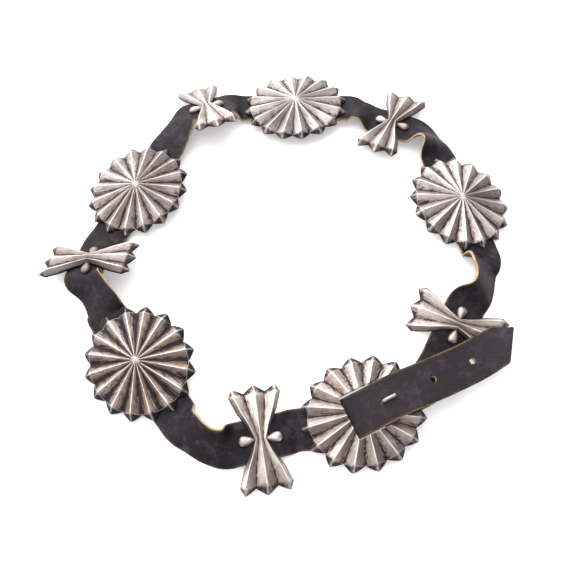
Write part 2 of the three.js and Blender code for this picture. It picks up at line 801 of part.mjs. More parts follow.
// The hook tongue: an eye round the bar, a shank up through the strap and a bent tip on top
function tongue() {
  const eye_radius = bar_diameter / 2 + round_gap + tongue_wire / 2;
  const eye = new THREE.TorusGeometry(eye_radius, tongue_wire / 2, 8, 16);
  eye.rotateX(Math.PI / 2);
  eye.translate(bar_offset, 0, -bar_drop);
  const half = buckle_length / 2;
  const before = way_in[way_in.length - 3];
  const after = way_in[way_in.length - 2];
  const share = (bar_offset / half - before.forward) / (after.forward - before.forward);
  const strap_top = (before.rise + (after.rise - before.rise) * share) * strap_width + strap_thickness / 2;
  const lie = after.rise * strap_width + strap_thickness / 2 + round_gap + tongue_wire / 2;
  const route = new THREE.CatmullRomCurve3([
    new THREE.Vector3(bar_offset, 0, -bar_drop + eye_radius),
    new THREE.Vector3(bar_offset, 0, (strap_top - bar_drop + eye_radius) / 2),
    new THREE.Vector3(bar_offset, 0, strap_top),
    new THREE.Vector3(bar_offset + 0.35 * tongue_wire, 0, lie - 0.35 * tongue_wire),
    new THREE.Vector3(bar_offset + 1.4 * tongue_wire, 0, lie + 0.1),
    new THREE.Vector3(bar_offset + tongue_reach, 0, lie + 0.1),
  ]);
  const section = new THREE.Shape();
  section.absarc(0, 0, tongue_wire / 2, 0, 2 * Math.PI);
  const settings = { steps: 12, curveSegments: 4, bevelEnabled: false, extrudePath: route };
  const shank = solid_from(new THREE.ExtrudeGeometry(section, settings));
  const tip = new THREE.SphereGeometry(tongue_wire / 2, 8, 6);
  tip.translate(bar_offset + tongue_reach, 0, lie + 0.1);
  return solid_from(eye).add(shank).add(solid_from(tip));
}

function rivet() {
  const top = -strap_depth + strap_thickness / 2 + fit_gap;
  const bottom = -flap_depth - strap_thickness / 2 - fit_gap;
  const profile = [
    [0, bottom - rivet_head_height], [rivet_head / 2, bottom - rivet_head_height], [rivet_head / 2, bottom],
    [rivet_stem / 2, bottom], [rivet_stem / 2, top], [rivet_head / 2, top],
    [rivet_head / 2, top + rivet_head_height], [0, top + rivet_head_height],
  ];
  const lathe = new THREE.LatheGeometry(profile.map(([x, y]) => new THREE.Vector2(x, y)), 12);
  lathe.rotateX(Math.PI / 2);
  lathe.translate(bar_offset + rivet_offset, 0, 0);
  return solid_from(lathe);
}

// Assembly
function named_mesh(name, solid, finish, matrix) {
  const mesh = new THREE.Mesh(geometry_of(solid), new THREE.MeshStandardMaterial(finish));
  mesh.name = name;
  if (matrix) mesh.applyMatrix4(matrix);
  return mesh;
}

function belt() {
  const points = { concho: concho_points(), butterfly: butterfly_points() };
  const solids = { concho: concho(), butterfly: butterfly() };
  const finishes = { concho: silver, butterfly: dull_silver };
  const buckle_rim = rim_points(buckle_length, buckle_breadth, 1);
  const frames = { buckle: plate_frame(buckle_place, buckle_rim, buckle_strap_points()) };
  const group = new THREE.Group();
  for (const place of plates) {
    const kind = place.name.split('_')[0];
    const frame = plate_frame(place, points[kind], strap_points(straight_half(place)));
    frames[place.name] = frame;
    group.add(named_mesh(place.name, solids[kind], finishes[kind], frame.plate_matrix));
  }
  const buckle_matrix = frames.buckle.plate_matrix;
  group.add(named_mesh('buckle', buckle(), silver, buckle_matrix));
  group.add(named_mesh('buckle_tongue', tongue(), silver, buckle_matrix));
  group.add(named_mesh('strap_rivet', rivet(), dull_silver, buckle_matrix));
  group.add(named_mesh('strap', strap(frames), leather));
  return group;
}

// The origin is the middle of the belt's footprint, on the table
const model = belt();
const bounds = new THREE.Box3().setFromObject(model, true);
const middle = bounds.getCenter(new THREE.Vector3());
model.position.set(-middle.x, -middle.y, -bounds.min.z);

export default model;
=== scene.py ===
# A silver concho belt, dressed round its CAD frame. Metres, +Z up, the belt lies on the floor.
import math
import random

import bmesh
import bpy
import numpy as np
from mathutils import Matrix, Vector
from mathutils.kdtree import KDTree


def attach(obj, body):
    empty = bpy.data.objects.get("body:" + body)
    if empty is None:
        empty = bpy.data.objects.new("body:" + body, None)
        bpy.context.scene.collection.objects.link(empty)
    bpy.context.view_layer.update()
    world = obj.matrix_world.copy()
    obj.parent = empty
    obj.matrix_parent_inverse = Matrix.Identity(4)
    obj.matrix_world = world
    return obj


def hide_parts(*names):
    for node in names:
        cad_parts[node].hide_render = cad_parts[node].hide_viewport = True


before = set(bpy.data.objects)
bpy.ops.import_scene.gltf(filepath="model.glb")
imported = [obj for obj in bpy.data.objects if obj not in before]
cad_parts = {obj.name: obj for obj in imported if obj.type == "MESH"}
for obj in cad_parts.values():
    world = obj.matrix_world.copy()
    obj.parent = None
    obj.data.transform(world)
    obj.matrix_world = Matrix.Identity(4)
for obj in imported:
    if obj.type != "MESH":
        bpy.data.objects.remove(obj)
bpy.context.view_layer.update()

MM = 0.001

# Sizes of the belt
FIT_GAP = 0.3 * MM
LOOP_RADIUS = 127 * MM
STRAP_WIDTH = 25.4 * MM
STRAP_THICKNESS = 2.2 * MM
POINT_INNER_CUT = 12.5 * MM
POINT_OUTER_CUT = 18 * MM
POINT_INWARD = 4.5 * MM
POINT_WIDTH = 1.4 * MM
HOLE_DIAMETER = 3.8 * MM
HOLE_SPACING = 31 * MM
HOLES = [0, 1.06 * HOLE_SPACING, 2 * HOLE_SPACING]
LAST_HOLE_TO_POINT = 37 * MM
FLAP_LENGTH = 26 * MM
FOLD_RUN = 10 * MM
SHEET_THICKNESS = 1.2 * MM
RIM_HEIGHT = 1.0 * MM
FLUTES = 16
CONCHO = {"length": 76 * MM, "breadth": 68 * MM, "height": 9 * MM, "shoulder": 5.2 * MM, "shift": 0}
BUCKLE = {"length": 77 * MM, "breadth": 68.5 * MM, "height": 9 * MM, "shoulder": 5.2 * MM, "shift": 1}
OPENING_LENGTH = 27 * MM
OPENING_OFFSET = 3.5 * MM
OPENING_SIDE_ROOM = 0.9 * MM
BAR_DIAMETER = 3 * MM
BAR_OFFSET = 12 * MM
BAR_DROP = 1.5 * MM
BUTTERFLY_LENGTH = 63.5 * MM
TIP_SPREAD = 26.5 * MM
CORNER_SPREAD = 31 * MM
BUTTERFLY_HEIGHT = 5 * MM
DROP_REACH = 13 * MM
DROP_WIDTH = 8.4 * MM
DROP_HEIGHT = 3 * MM
KEEPER_WIDTH = 8 * MM
KEEPER_THICKNESS = 0.9 * MM
KEEPER_SIDE_ROOM = 1.2 * MM
TONGUE_WIRE = 2.2 * MM
TONGUE_REACH = 7 * MM
ROUND_GAP = 0.36 * MM
RIVET_STEM = 3 * MM
RIVET_OFFSET = 14 * MM
PATH_SPARE = 40 * MM
PATH_STEP = 1.1 * MM
BAR_TOP = 3 * MM
BAR_BEND = 1.2 * MM
KEEPER_BEND = 1.0 * MM
CONCHO_LEG = 2.2 * MM
BUTTERFLY_LEG = 1.2 * MM
EDGE_ROUNDING = 0.55 * MM
EDGE_RIPPLE = 0.25 * MM

CONCHO_NAMES = ["concho_1", "concho_2", "concho_3", "concho_4"]
BUTTERFLY_NAMES = ["butterfly_1", "butterfly_2", "butterfly_3", "butterfly_4", "butterfly_5"]


# Rows of values under named columns
def table(columns, *rows):
    return [dict(zip(columns.split(), row)) for row in rows]


# Plates in their order along the strap from the buckle. turn: degrees round the waist from +X;
# reach: share of LOOP_RADIUS; twist: degrees that the plate has turned on the strap.
PLATES = table(
    "name turn reach twist",
    ("butterfly_1", -25.9, 0.970, 5),
    ("concho_1", 17.6, 1.011, 5),
    ("butterfly_2", 53.4, 1.074, -2),
    ("concho_2", 85.2, 0.991, 10),
    ("butterfly_3", 114.7, 1.035, 0),
    ("concho_3", 153.5, 0.875, -3),
    ("butterfly_4", 184.3, 0.983, 4),
    ("concho_4", 222.9, 0.924, 1),
    ("butterfly_5", 264.8, 1.004, -4),
)

# Bends of the strap between plates. lean: degrees that the inner edge stands up; lift: share of
# STRAP_WIDTH that the outer edge is off the table.
BENDS = table(
    "after turn reach lean lift",
    ("buckle", -41, 0.992, 4, 0.12),
    ("butterfly_1", -14, 1.043, 54, 0.02),
    ("butterfly_1", -6, 1.044, 43, 0.02),
    ("concho_1", 40.5, 1.118, 43, 0.02),
    ("butterfly_2", 64, 1.061, 20, 0.03),
    ("butterfly_3", 126, 1.000, 22, 0.06),
    ("butterfly_4", 195, 0.972, 44, 0.03),
    ("butterfly_4", 201, 0.944, 30, 0.06),
    ("concho_4", 247, 1.060, 46, 0.02),
    ("concho_4", 254, 1.090, 52, 0.02),
)

# The strap near the buckle, in the buckle's own frame. forward: share of half the buckle's
# length; inward: share of STRAP_WIDTH; rise: share of STRAP_WIDTH above the buckle's base.
WAY_THROUGH = table(
    "forward inward rise lean",
    (-1.04, 0.33, -0.095, 6),
    (-0.80, 0.19, -0.080, 6),
    (-0.57, 0.06, -0.012, 6),
    (-0.26, 0.00, 0.083, 6),
    (0.44, 0.00, 0.366, 6),
    (0.72, 0.00, 0.350, 6),
    (1.00, -0.02, 0.310, 6),
    (1.35, -0.03, 0.215, 8),
    (1.95, 0.00, -0.030, 5),
    (2.80, 0.15, -0.230, -11),
)
BEFORE_TONGUE = 3
AFTER_TONGUE = 4

# Rings of a fluted plate from its middle outwards, as in the frame. Reaches are shares of the
# way to a tip, falls are shares of the height.
CREST_REACH = [0, 0.14, 0.34, 0.60, 0.86]
CREST_FALL = [1, 0.86, 0.64, 0.34, 0]
VALLEY_REACH = [0, 0.13, 0.32, 0.58, 0.82]
VALLEY_FALL = [1, 0.86, 0.62, 0.34, 0.06]
NOTCH_REACH = 0.87
HIP_REACH = 0.86
HIP_FADE = 0.05
NOTCH_CURVE = 1.08
FLANK_CURVE = 1.18
CONCHO_SEED = 11
BUCKLE_SEED = 51
TIP_VARIATION = 0.012
LIFT_VARIATION = 0.04
MIDDLE_REACH = 0.012
MIDDLE_DIMPLE = 0.05 * MM
VALLEY_INSET = 0.6
CREST_INSET = 2.4
# A painted highlight, partly wear, brightens the ridges at the hip line and the middle of a concho
RIDGE_WEAR_AND_HIGHLIGHT = 0.8
MIDDLE_WEAR_AND_HIGHLIGHT_REACH = 0.15
MIDDLE_WEAR_AND_HIGHLIGHT_SLOPE = 1.2

# Sections of a butterfly from its waist outwards, as in the frame. FAN_ALONG is a share of half
# the length, edge and crest of the spreads, the others of the height.
FAN_ALONG = [0.00, 0.24, 0.52, 0.79]
FAN_EDGE = [0.22, 0.45, 0.78, 0.99]
FAN_CREST = [0.20, 0.41, 0.71, 0.94]
FAN_SIDE = [0.80, 0.88, 0.92, 0.90]
FAN_MIDDLE = [1.00, 1.00, 0.96, 0.92]
FAN_VALLEY = [0.58, 0.46, 0.32, 0.16]
FAN_CORNER = 0.81
FAN_NOTCH = 0.85
FAN_SIDE_TIP = 0.97
FAN_HIP_SLOPE = 0.92
FAN_HIP_START = 0.80
FAN_ROWS = 26
FAN_ROW_CURVE = 1.25
FAN_SIDE_INSET = 1.6
FAN_END_INSET = 2.2

# A waist drop's rings from its foot upwards: their sizes, and their shares of DROP_HEIGHT
DROP_SIZES = [1.0, 1.0, 0.95, 0.84, 0.68, 0.46, 0.22]
DROP_RISES = [0.0, 0.22, 0.42, 0.62, 0.80, 0.93, 0.99]
DROP_FULLEST = 0.6
DROP_POINT = 0.35

# A keeper's section, an oblong with cut corners: shares of half its width and half its thickness
KEEPER_WIDE = [-1, -0.94, 0.94, 1, 1, 0.94, -0.94, -1]
KEEPER_THICK = [-0.6, -1, -1, -0.6, 0.6, 1, 1, 0.6]

# Steps from a crest at 0 to a valley at 1, closer together at both
CREASE_STEPS = np.array([0, 0.045, 0.12, 0.24, 0.38, 0.52, 0.66, 0.79, 0.89, 0.96])
ROUND_SIDES = 16


# Frames of the plates, read from the CAD nodes
def node_points(name):
    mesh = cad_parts[name].data
    points = np.empty(len(mesh.vertices) * 3)
    mesh.vertices.foreach_get("co", points)
    return points.reshape(-1, 3)


def node_triangles(name):
    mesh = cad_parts[name].data
    mesh.calc_loop_triangles()
    corners = np.empty(len(mesh.loop_triangles) * 3, dtype=int)
    mesh.loop_triangles.foreach_get("vertices", corners)
    return node_points(name)[corners.reshape(-1, 3)]


def principal_axes(centred, weights):
    spread = (centred * weights[:, None]).T @ centred
    values, vectors = np.linalg.eigh(spread)
    return vectors[:, np.argsort(-values)].T


# The axes of a plate: x along the strap, y across it towards the waist, z up
def oriented(long_axis, short_axis, centre, long_is_forward):
    forward = long_axis if long_is_forward else short_axis
    outwards = np.array([centre[0], centre[1], 0.0])
    if np.dot(np.cross([0, 0, 1.0], outwards), forward) < 0:
        forward = -forward
    normal = np.cross(long_axis, short_axis)
    if normal[2] < 0:
        normal = -normal
    return np.array([forward, np.cross(normal, forward), normal])


# The axes and base point of a plate. A butterfly's come from its whole surface, an oval plate's
# from the tips of its flutes.
def plate_frame(name):
    triangles = node_triangles(name)
    edges = np.cross(triangles[:, 1] - triangles[:, 0], triangles[:, 2] - triangles[:, 0])
    areas = np.linalg.norm(edges, axis=1) / 2
    middles = triangles.mean(axis=1)
    centre = (middles * areas[:, None]).sum(axis=0) / areas.sum()
    axes = principal_axes(middles - centre, areas)
    is_butterfly = name.startswith("butterfly")
    axes = oriented(axes[0], axes[1], centre, not is_butterfly)
    if is_butterfly:
        top = ((node_points(name) - centre) @ axes[2]).max()
        return axes, centre + (top - BUTTERFLY_HEIGHT) * axes[2]
    size = BUCKLE if name == "buckle" else CONCHO
    points = np.unique(np.round(node_points(name), 7), axis=0)
    nearly_all = 0.96
    for _ in range(4):
        local = (points - centre) @ axes.T
        reach = np.hypot(local[:, 0] / (size["length"] / 2), local[:, 1] / (size["breadth"] / 2))
        tips = points[reach > nearly_all]
        centre = tips.mean(axis=0)
        found = principal_axes(tips - centre, np.ones(len(tips)))
        axes = oriented(found[0], found[1], centre, True)
    return axes, centre - (RIM_HEIGHT / 2) * axes[2]


FRAMES = {name: plate_frame(name) for name in CONCHO_NAMES + BUTTERFLY_NAMES + ["buckle"]}


# Turns a plate's frame back by its twist, which gives the strap's frame under it
def strap_frame(name, twist):
    axes, centre = FRAMES[name]
    cosine = math.cos(math.radians(twist))
    sine = math.sin(math.radians(twist))
    forward = axes[0] * cosine - axes[1] * sine
    across = axes[0] * sine + axes[1] * cosine
    return np.array([forward, across, axes[2]]), centre


# A point of the loop round the waist, before LOOP_CENTRE is added
def loop_point(turn, reach, height):
    angle = math.radians(turn)
    radius = LOOP_RADIUS * reach
    return np.array([radius * math.cos(angle), radius * math.sin(angle), height])


def loop_centre():
    offsets = [FRAMES[row["name"]][1] - loop_point(row["turn"], row["reach"], 0) for row in PLATES]
    mean = np.mean(offsets, axis=0)
    return np.array([mean[0], mean[1], 0.0])


LOOP_CENTRE = loop_centre()


# The strap's direction across, towards the waist, with its inner edge raised by lean degrees
def leaning_across(direction, lean):
    inward = np.array([-direction[1], direction[0], 0.0])
    inward /= np.linalg.norm(inward)
    up = np.cross(direction, inward)
    up /= np.linalg.norm(up)
    return inward * math.cos(math.radians(lean)) + up * math.sin(math.radians(lean))


# The strap's path, knot by knot
STRAP_DEPTH = FIT_GAP + STRAP_THICKNESS / 2
FLAP_DEPTH = STRAP_DEPTH + STRAP_THICKNESS + FIT_GAP
FOLD_RADIUS = BAR_DIAMETER / 2 + FIT_GAP + STRAP_THICKNESS / 2


def fixed_knot(frame_axes, centre, x, z, direction_x, direction_z):
    direction = frame_axes[0] * direction_x + frame_axes[2] * direction_z
    point = centre + frame_axes[0] * x + frame_axes[2] * z
    return {"point": point, "direction": direction, "across": frame_axes[1], "fixed": True}


def fold_knots():
    axes, centre = FRAMES["buckle"]
    knots = [
        fixed_knot(axes, centre, BAR_OFFSET + FLAP_LENGTH, -FLAP_DEPTH, -1, 0),
        fixed_knot(axes, centre, BAR_OFFSET + FOLD_RUN, -FLAP_DEPTH, -1, 0),
    ]
    turns = 8
    for i in range(turns + 1):
        angle = math.pi * i / turns
        x = BAR_OFFSET - FOLD_RADIUS * math.sin(angle)
        z = -BAR_DROP - FOLD_RADIUS * math.cos(angle)
        knots.append(fixed_knot(axes, centre, x, z, -math.cos(angle), math.sin(angle)))
    knots.append(fixed_knot(axes, centre, BAR_OFFSET + FOLD_RUN, -STRAP_DEPTH, 1, 0))
    knots.append(fixed_knot(axes, centre, BUCKLE["length"] / 2, -STRAP_DEPTH, 1, 0))
    return knots


def bend_knot(bend):
    lean = math.radians(bend["lean"])
    height = bend["lift"] * STRAP_WIDTH
    height += STRAP_WIDTH / 2 * math.sin(lean) + STRAP_THICKNESS / 2 * math.cos(lean)
    point = LOOP_CENTRE + loop_point(bend["turn"], bend["reach"], height)
    return {"point": point, "lean": bend["lean"]}


def buckle_knot(row):
    axes, centre = FRAMES["buckle"]
    point = centre + axes[0] * row["forward"] * BUCKLE["length"] / 2
    point = point + axes[1] * row["inward"] * STRAP_WIDTH + axes[2] * row["rise"] * STRAP_WIDTH
    return {"point": point, "lean": row["lean"]}


def strap_knots():
    knots = fold_knots()
    knots += [bend_knot(bend) for bend in BENDS if bend["after"] == "buckle"]
    for row in PLATES:
        axes, centre = strap_frame(row["name"], row["twist"])
        is_concho = row["name"].startswith("concho")
        half = (CONCHO["length"] / 2 if is_concho else DROP_REACH) + FIT_GAP
        for x in (-half, half):
            knots.append(fixed_knot(axes, centre, x, -STRAP_DEPTH, 1, 0))
        knots += [bend_knot(bend) for bend in BENDS if bend["after"] == row["name"]]
    knots += [buckle_knot(row) for row in WAY_THROUGH]
    last = len(knots) - 1
    for i, knot in enumerate(knots):
        if "direction" not in knot:
            chord = knots[min(i + 1, last)]["point"] - knots[max(i - 1, 0)]["point"]
            knot["direction"] = chord / np.linalg.norm(chord)
        if "across" not in knot:
            knot["across"] = leaning_across(knot["direction"], knot["lean"])
    for i, knot in enumerate(knots):
        free = "fixed" not in knot and 0 < i < last
        knot["twist"] = (knots[i + 1]["across"] - knots[i - 1]["across"]) / 2 if free else np.zeros(3)
    return knots


# A cubic from a to b that starts and ends with the given slopes
def blend(a, slope_a, b, slope_b, t):
    return (
        a * (2 * t**3 - 3 * t**2 + 1)
        + slope_a * (t**3 - 2 * t**2 + t)
        + b * (3 * t**2 - 2 * t**3)
        + slope_b * (t**3 - t**2)
    )


def station_between(start, end, t):
    chord = np.linalg.norm(end["point"] - start["point"])
    ends = (start["point"], start["direction"] * chord, end["point"], end["direction"] * chord)
    step = 1e-3
    along = blend(*ends, min(t + step, 1)) - blend(*ends, max(t - step, 0))
    along /= np.linalg.norm(along)
    across = blend(start["across"], start["twist"], end["across"], end["twist"], t)
    across -= along * np.dot(across, along)
    across /= np.linalg.norm(across)
    point = blend(*ends, t)
    normal = np.cross(along, across)
    rest = abs(across[2]) * STRAP_WIDTH / 2 + abs(normal[2]) * STRAP_THICKNESS / 2
    point[2] = max(point[2], rest)
    return {"point": point, "along": along, "across": across, "normal": normal}


# Stations along the whole strap, with some spare path after its last knot
def strap_path(step):
    knots = strap_knots()
    stations = [station_between(knots[0], knots[1], 0)]
    for start, end in zip(knots, knots[1:]):
        pieces = max(1, round(np.linalg.norm(end["point"] - start["point"]) / step))
        stations += [station_between(start, end, (k + 1) / pieces) for k in range(pieces)]
    spare = station_between(knots[-2], knots[-1], 1)
    spare["point"] = spare["point"] + spare["along"] * PATH_SPARE
    stations.append(spare)
    distance = 0
    stations[0]["distance"] = 0
    for before, after in zip(stations, stations[1:]):
        distance += np.linalg.norm(after["point"] - before["point"])
        after["distance"] = distance
    return stations


def station_at(stations, distance):
    index = next(i for i, station in enumerate(stations) if station["distance"] >= distance)
    before, after = stations[index - 1], stations[index]
    t = (distance - before["distance"]) / (after["distance"] - before["distance"])
    mixed = {key: before[key] * (1 - t) + after[key] * t for key in ("point", "along", "across")}
    mixed["across"] /= np.linalg.norm(mixed["across"])
    mixed["normal"] = np.cross(mixed["along"], mixed["across"])
    mixed["normal"] /= np.linalg.norm(mixed["normal"])
    mixed["distance"] = distance
    return mixed


# Distance along the strap at which its free end passes over the bar
def tongue_distance(stations):
    axes, centre = FRAMES["buckle"]
    forward = [np.dot(station["point"] - centre, axes[0]) for station in stations]
    for i in range(len(stations) - 1, 0, -1):
        if forward[i - 1] <= BAR_OFFSET < forward[i]:
            t = (BAR_OFFSET - forward[i - 1]) / (forward[i] - forward[i - 1])
            return stations[i - 1]["distance"] * (1 - t) + stations[i]["distance"] * t
    raise ValueError("the free end does not pass over the bar")


# Meshes
def new_object(name, points, faces, attributes, material, smooth=True):
    mesh = bpy.data.meshes.new(name)
    mesh.from_pydata([tuple(point) for point in points], [], faces)
    for key, values in attributes.items():
        layer = mesh.attributes.new(key, "FLOAT", "POINT")
        layer.data.foreach_set("value", np.asarray(values, dtype=np.float32))
    mesh.polygons.foreach_set("use_smooth", [smooth] * len(mesh.polygons))
    mesh.materials.append(material)
    mesh.update()
    turn_faces_out(mesh)
    obj = bpy.data.objects.new(name, mesh)
    bpy.context.collection.objects.link(obj)
    return obj


def turn_faces_out(mesh):
    edited = bmesh.new()
    edited.from_mesh(mesh)
    bmesh.ops.recalc_face_normals(edited, faces=edited.faces)
    edited.to_mesh(mesh)
    edited.free()


# Faces of a grid of rows; every row has the same number of points
def grid_faces(rows, columns, closed, start=0, turned=False):
    faces = []
    for i in range(rows - 1):
        for j in range(columns if closed else columns - 1):
            a = start + i * columns + j
            b = start + i * columns + (j + 1) % columns
            face = (a, b, b + columns, a + columns)
            faces.append(face[::-1] if turned else face)
    return faces


def to_world(name, local):
    axes, centre = FRAMES[name]
    return centre + np.asarray(local) @ axes


# A lobe's outline: 1 at the tip, curving in to the notch
def outline_reach(t):
    return 1 - (1 - NOTCH_REACH) * t**NOTCH_CURVE


def crest_height(plate, reach):
    fall = np.interp(reach, CREST_REACH, CREST_FALL)
    return plate["shoulder"] + (plate["height"] - plate["shoulder"]) * fall


def valley_height(plate, reach):
    fall = np.interp(reach, VALLEY_REACH + [NOTCH_REACH], VALLEY_FALL + [0])
    return RIM_HEIGHT + (plate["height"] - RIM_HEIGHT) * fall


def lobe_height(plate, reach, t):
    side = valley_height(plate, reach)
    side = side + (crest_height(plate, reach) - side) * (1 - t) ** FLANK_CURVE
    slope = (plate["shoulder"] - RIM_HEIGHT) / (1 - HIP_REACH)
    hip = RIM_HEIGHT + slope * (outline_reach(t) - reach)
    return np.minimum(side, hip), hip - side


# The reach at which a lobe's side meets its hip
def hip_line(plate, t):
    low, high = 0.5, float(outline_reach(t))
    halvings = 30
    for _ in range(halvings):
        middle = (low + high) / 2
        _, over = lobe_height(plate, np.array(middle), t)
        if over > 0:
            low = middle
        else:
            high = middle
    return low


# The directions of a plate's columns. t: 0 on a crest, 1 in a valley
def flute_directions(plate, rng):
    entries = []
    for k in range(FLUTES):
        tip = 1 - rng.random() * TIP_VARIATION
        lift = 1 - rng.random() * LIFT_VARIATION
        for side in (1, -1):
            for t in CREASE_STEPS if side == 1 else 1 - CREASE_STEPS:
                position = k + (t / 2 if side == 1 else 1 - t / 2)
                angle = (2 * position + plate["shift"]) * math.pi / FLUTES
                entries.append({"angle": angle, "t": float(t), "tip": tip, "lift": lift})
    return entries


# The reach at which a direction meets the buckle's opening
def opening_reach(plate, angle):
    dx = plate["length"] / 2 * math.cos(angle)
    dy = plate["breadth"] / 2 * math.sin(angle)
    half = OPENING_LENGTH / 2
    side = STRAP_WIDTH / 2 + OPENING_SIDE_ROOM
    end = OPENING_OFFSET + half if dx > 0 else half - OPENING_OFFSET
    along = end / abs(dx) if abs(dx) > 1e-9 else 1e9
    across = side / abs(dy) if abs(dy) > 1e-9 else 1e9
    return min(along, across)


# Values of a plain silver surface: groove and under may be one number or one for each point
def even_attributes(count, groove, under):
    return {
        "groove": np.full(count, groove),
        "reach": np.full(count, 0.5),
        "hip": np.zeros(count),
        "under": np.full(count, under),
        "around": np.zeros(count),
    }


# Reach and height of each point, ring by ring: inner rings up to the hip, hip rings to the outline
def plate_rings(plate, entries, inner_rings, opening):
    hip_rings = 8
    reach = np.zeros((inner_rings + hip_rings + 1, len(entries)))
    heights = np.zeros_like(reach)
    for j, entry in enumerate(entries):
        t = entry["t"]
        start = opening_reach(plate, entry["angle"]) if opening else MIDDLE_REACH
        hip = hip_line(plate, t)
        inner = np.linspace(start, hip, inner_rings + 1)
        outer = np.linspace(hip, float(outline_reach(t)), hip_rings + 1)[1:]
        reach[:, j] = np.concatenate([inner, outer])
        heights[:, j], _ = lobe_height(plate, reach[:, j], t)
    return reach, heights


# An oval fluted shell with a hollow back; each flute's reach and lift vary a little
def fluted_plate(name, plate, material, seed, opening=False):
    entries = flute_directions(plate, random.Random(seed))
    inner_rings = 30
    reach, heights = plate_rings(plate, entries, inner_rings, opening)
    rows, columns = reach.shape
    t_row = np.array([entry["t"] for entry in entries])
    tips = np.array([entry["tip"] for entry in entries])
    lifts = np.array([entry["lift"] for entry in entries])
    angles = np.array([entry["angle"] for entry in entries])
    sharpness = np.clip(reach / 0.5, 0, 1)
    heights = RIM_HEIGHT + (heights - RIM_HEIGHT) * (1 - (1 - lifts) * sharpness * (1 - t_row))
    spread = 1 - (1 - tips) * reach
    x = plate["length"] / 2 * reach * spread * np.cos(angles)
    y = plate["breadth"] / 2 * reach * spread * np.sin(angles)
    outer_shell = np.stack([x, y, heights], axis=-1)
    rim = outer_shell[-1].copy()
    rim[:, 2] = 0
    wall = SHEET_THICKNESS
    inset = 1 - (VALLEY_INSET + CREST_INSET * (1 - t_row)) * wall / plate["length"]
    lower = np.maximum(heights - wall, 0)
    if opening:
        under = np.stack([x, y, lower], axis=-1)
        under[1:, :, :2] *= (1 - (1 - inset) * reach[1:] / reach[-1])[:, :, None]
    else:
        under = np.stack([x * inset, y * inset, lower], axis=-1)
    under[-1, :, 2] = 0
    points = np.concatenate([outer_shell.reshape(-1, 3), rim, under[::-1].reshape(-1, 3)])
    total_rows = rows + 1 + rows
    faces = grid_faces(total_rows, columns, True)
    depth = np.broadcast_to(t_row, reach.shape)
    # hip marks the steep end facets, which the material darkens as painted shade
    hips = np.clip((reach - HIP_REACH) / HIP_FADE, 0, 1)
    attributes = {
        "groove": np.concatenate([depth.ravel(), t_row, depth.ravel()]),
        "reach": np.concatenate([reach.ravel(), np.ones(columns), reach[::-1].ravel()]),
        "hip": np.concatenate([hips.ravel(), np.ones(columns), hips[::-1].ravel()]),
        "under": np.concatenate([np.zeros(reach.size + columns), np.ones(reach.size)]),
        "around": np.tile(angles * FLUTES / (2 * math.pi), total_rows),
        "ridge": np.repeat(RIDGE_WEAR_AND_HIGHLIGHT * (np.arange(total_rows) == inner_rings), columns),
    }
    last = (total_rows - 1) * columns
    if opening:
        for j in range(columns):
            k = (j + 1) % columns
            faces.append((last + j, last + k, k, j))
    else:
        # The middle gets the painted highlight, partly wear, fading out from the centre
        worn = MIDDLE_WEAR_AND_HIGHLIGHT_SLOPE * (1 - attributes["reach"] / MIDDLE_WEAR_AND_HIGHLIGHT_REACH)
        attributes["ridge"] = np.maximum(attributes["ridge"], np.clip(worn, 0, RIDGE_WEAR_AND_HIGHLIGHT))
        for start, height, under_side in ((0, plate["height"], 0), (last, plate["height"] - wall, 1)):
            apex = len(points)
            points = np.vstack([points, [0, 0, height - MIDDLE_DIMPLE]])
            for j in range(columns):
                ring = (start + j, start + (j + 1) % columns)
                faces.append((apex, *(ring[::-1] if start == 0 else ring)))
            middle = {"groove": 0.5, "under": under_side, "ridge": RIDGE_WEAR_AND_HIGHLIGHT}
            for key, values in attributes.items():
                attributes[key] = np.append(values, middle.get(key, 0))
    return new_object(f"{name}_silver", to_world(name, points), faces, attributes, material)


# Butterflies. u: -2, 0 and 2 on the three crests, odd in the valleys and 3 at the corners
def fan_columns():
    entries = []
    for lobe in (-1, 0, 1):
        for t in 1 - CREASE_STEPS:
            entries.append((2 * lobe - t, float(t)))
        for t in CREASE_STEPS[1:]:
            entries.append((2 * lobe + t, float(t)))
    entries.append((3.0, 1.0))
    return entries


def fan_lines(along):
    crest = np.interp(along, FAN_ALONG + [FAN_SIDE_TIP], FAN_CREST + [1.0]) * TIP_SPREAD / 2
    edge = np.interp(along, FAN_ALONG + [FAN_CORNER], FAN_EDGE + [1.0]) * CORNER_SPREAD / 2
    return crest, edge


def fan_x(u, along):
    crest, edge = fan_lines(along)
    return np.sign(u) * np.interp(abs(u), [0, 1, 2, 3], [0, crest / 2, crest, edge])


def fan_rim(u):
    return float(np.interp(abs(u), [0, 1, 2, 3], [1.0, FAN_NOTCH, FAN_SIDE_TIP, FAN_CORNER]))


def fan_height(u, along):
    rise = BUTTERFLY_HEIGHT - RIM_HEIGHT
    size = abs(u)
    side = np.interp(along, FAN_ALONG, FAN_SIDE)
    middle = np.interp(along, FAN_ALONG, FAN_MIDDLE)
    valley = np.interp(along, FAN_ALONG, FAN_VALLEY)
    height = np.interp(size, [0, 1, 2, 3], [middle, valley, side, 0])
    length = (FAN_SIDE_TIP if size > 1 else 1.0) - FAN_ALONG[-1]
    hip = (fan_rim(u) - along) / length * FAN_HIP_SLOPE
    return RIM_HEIGHT + rise * min(height, max(hip, 0))


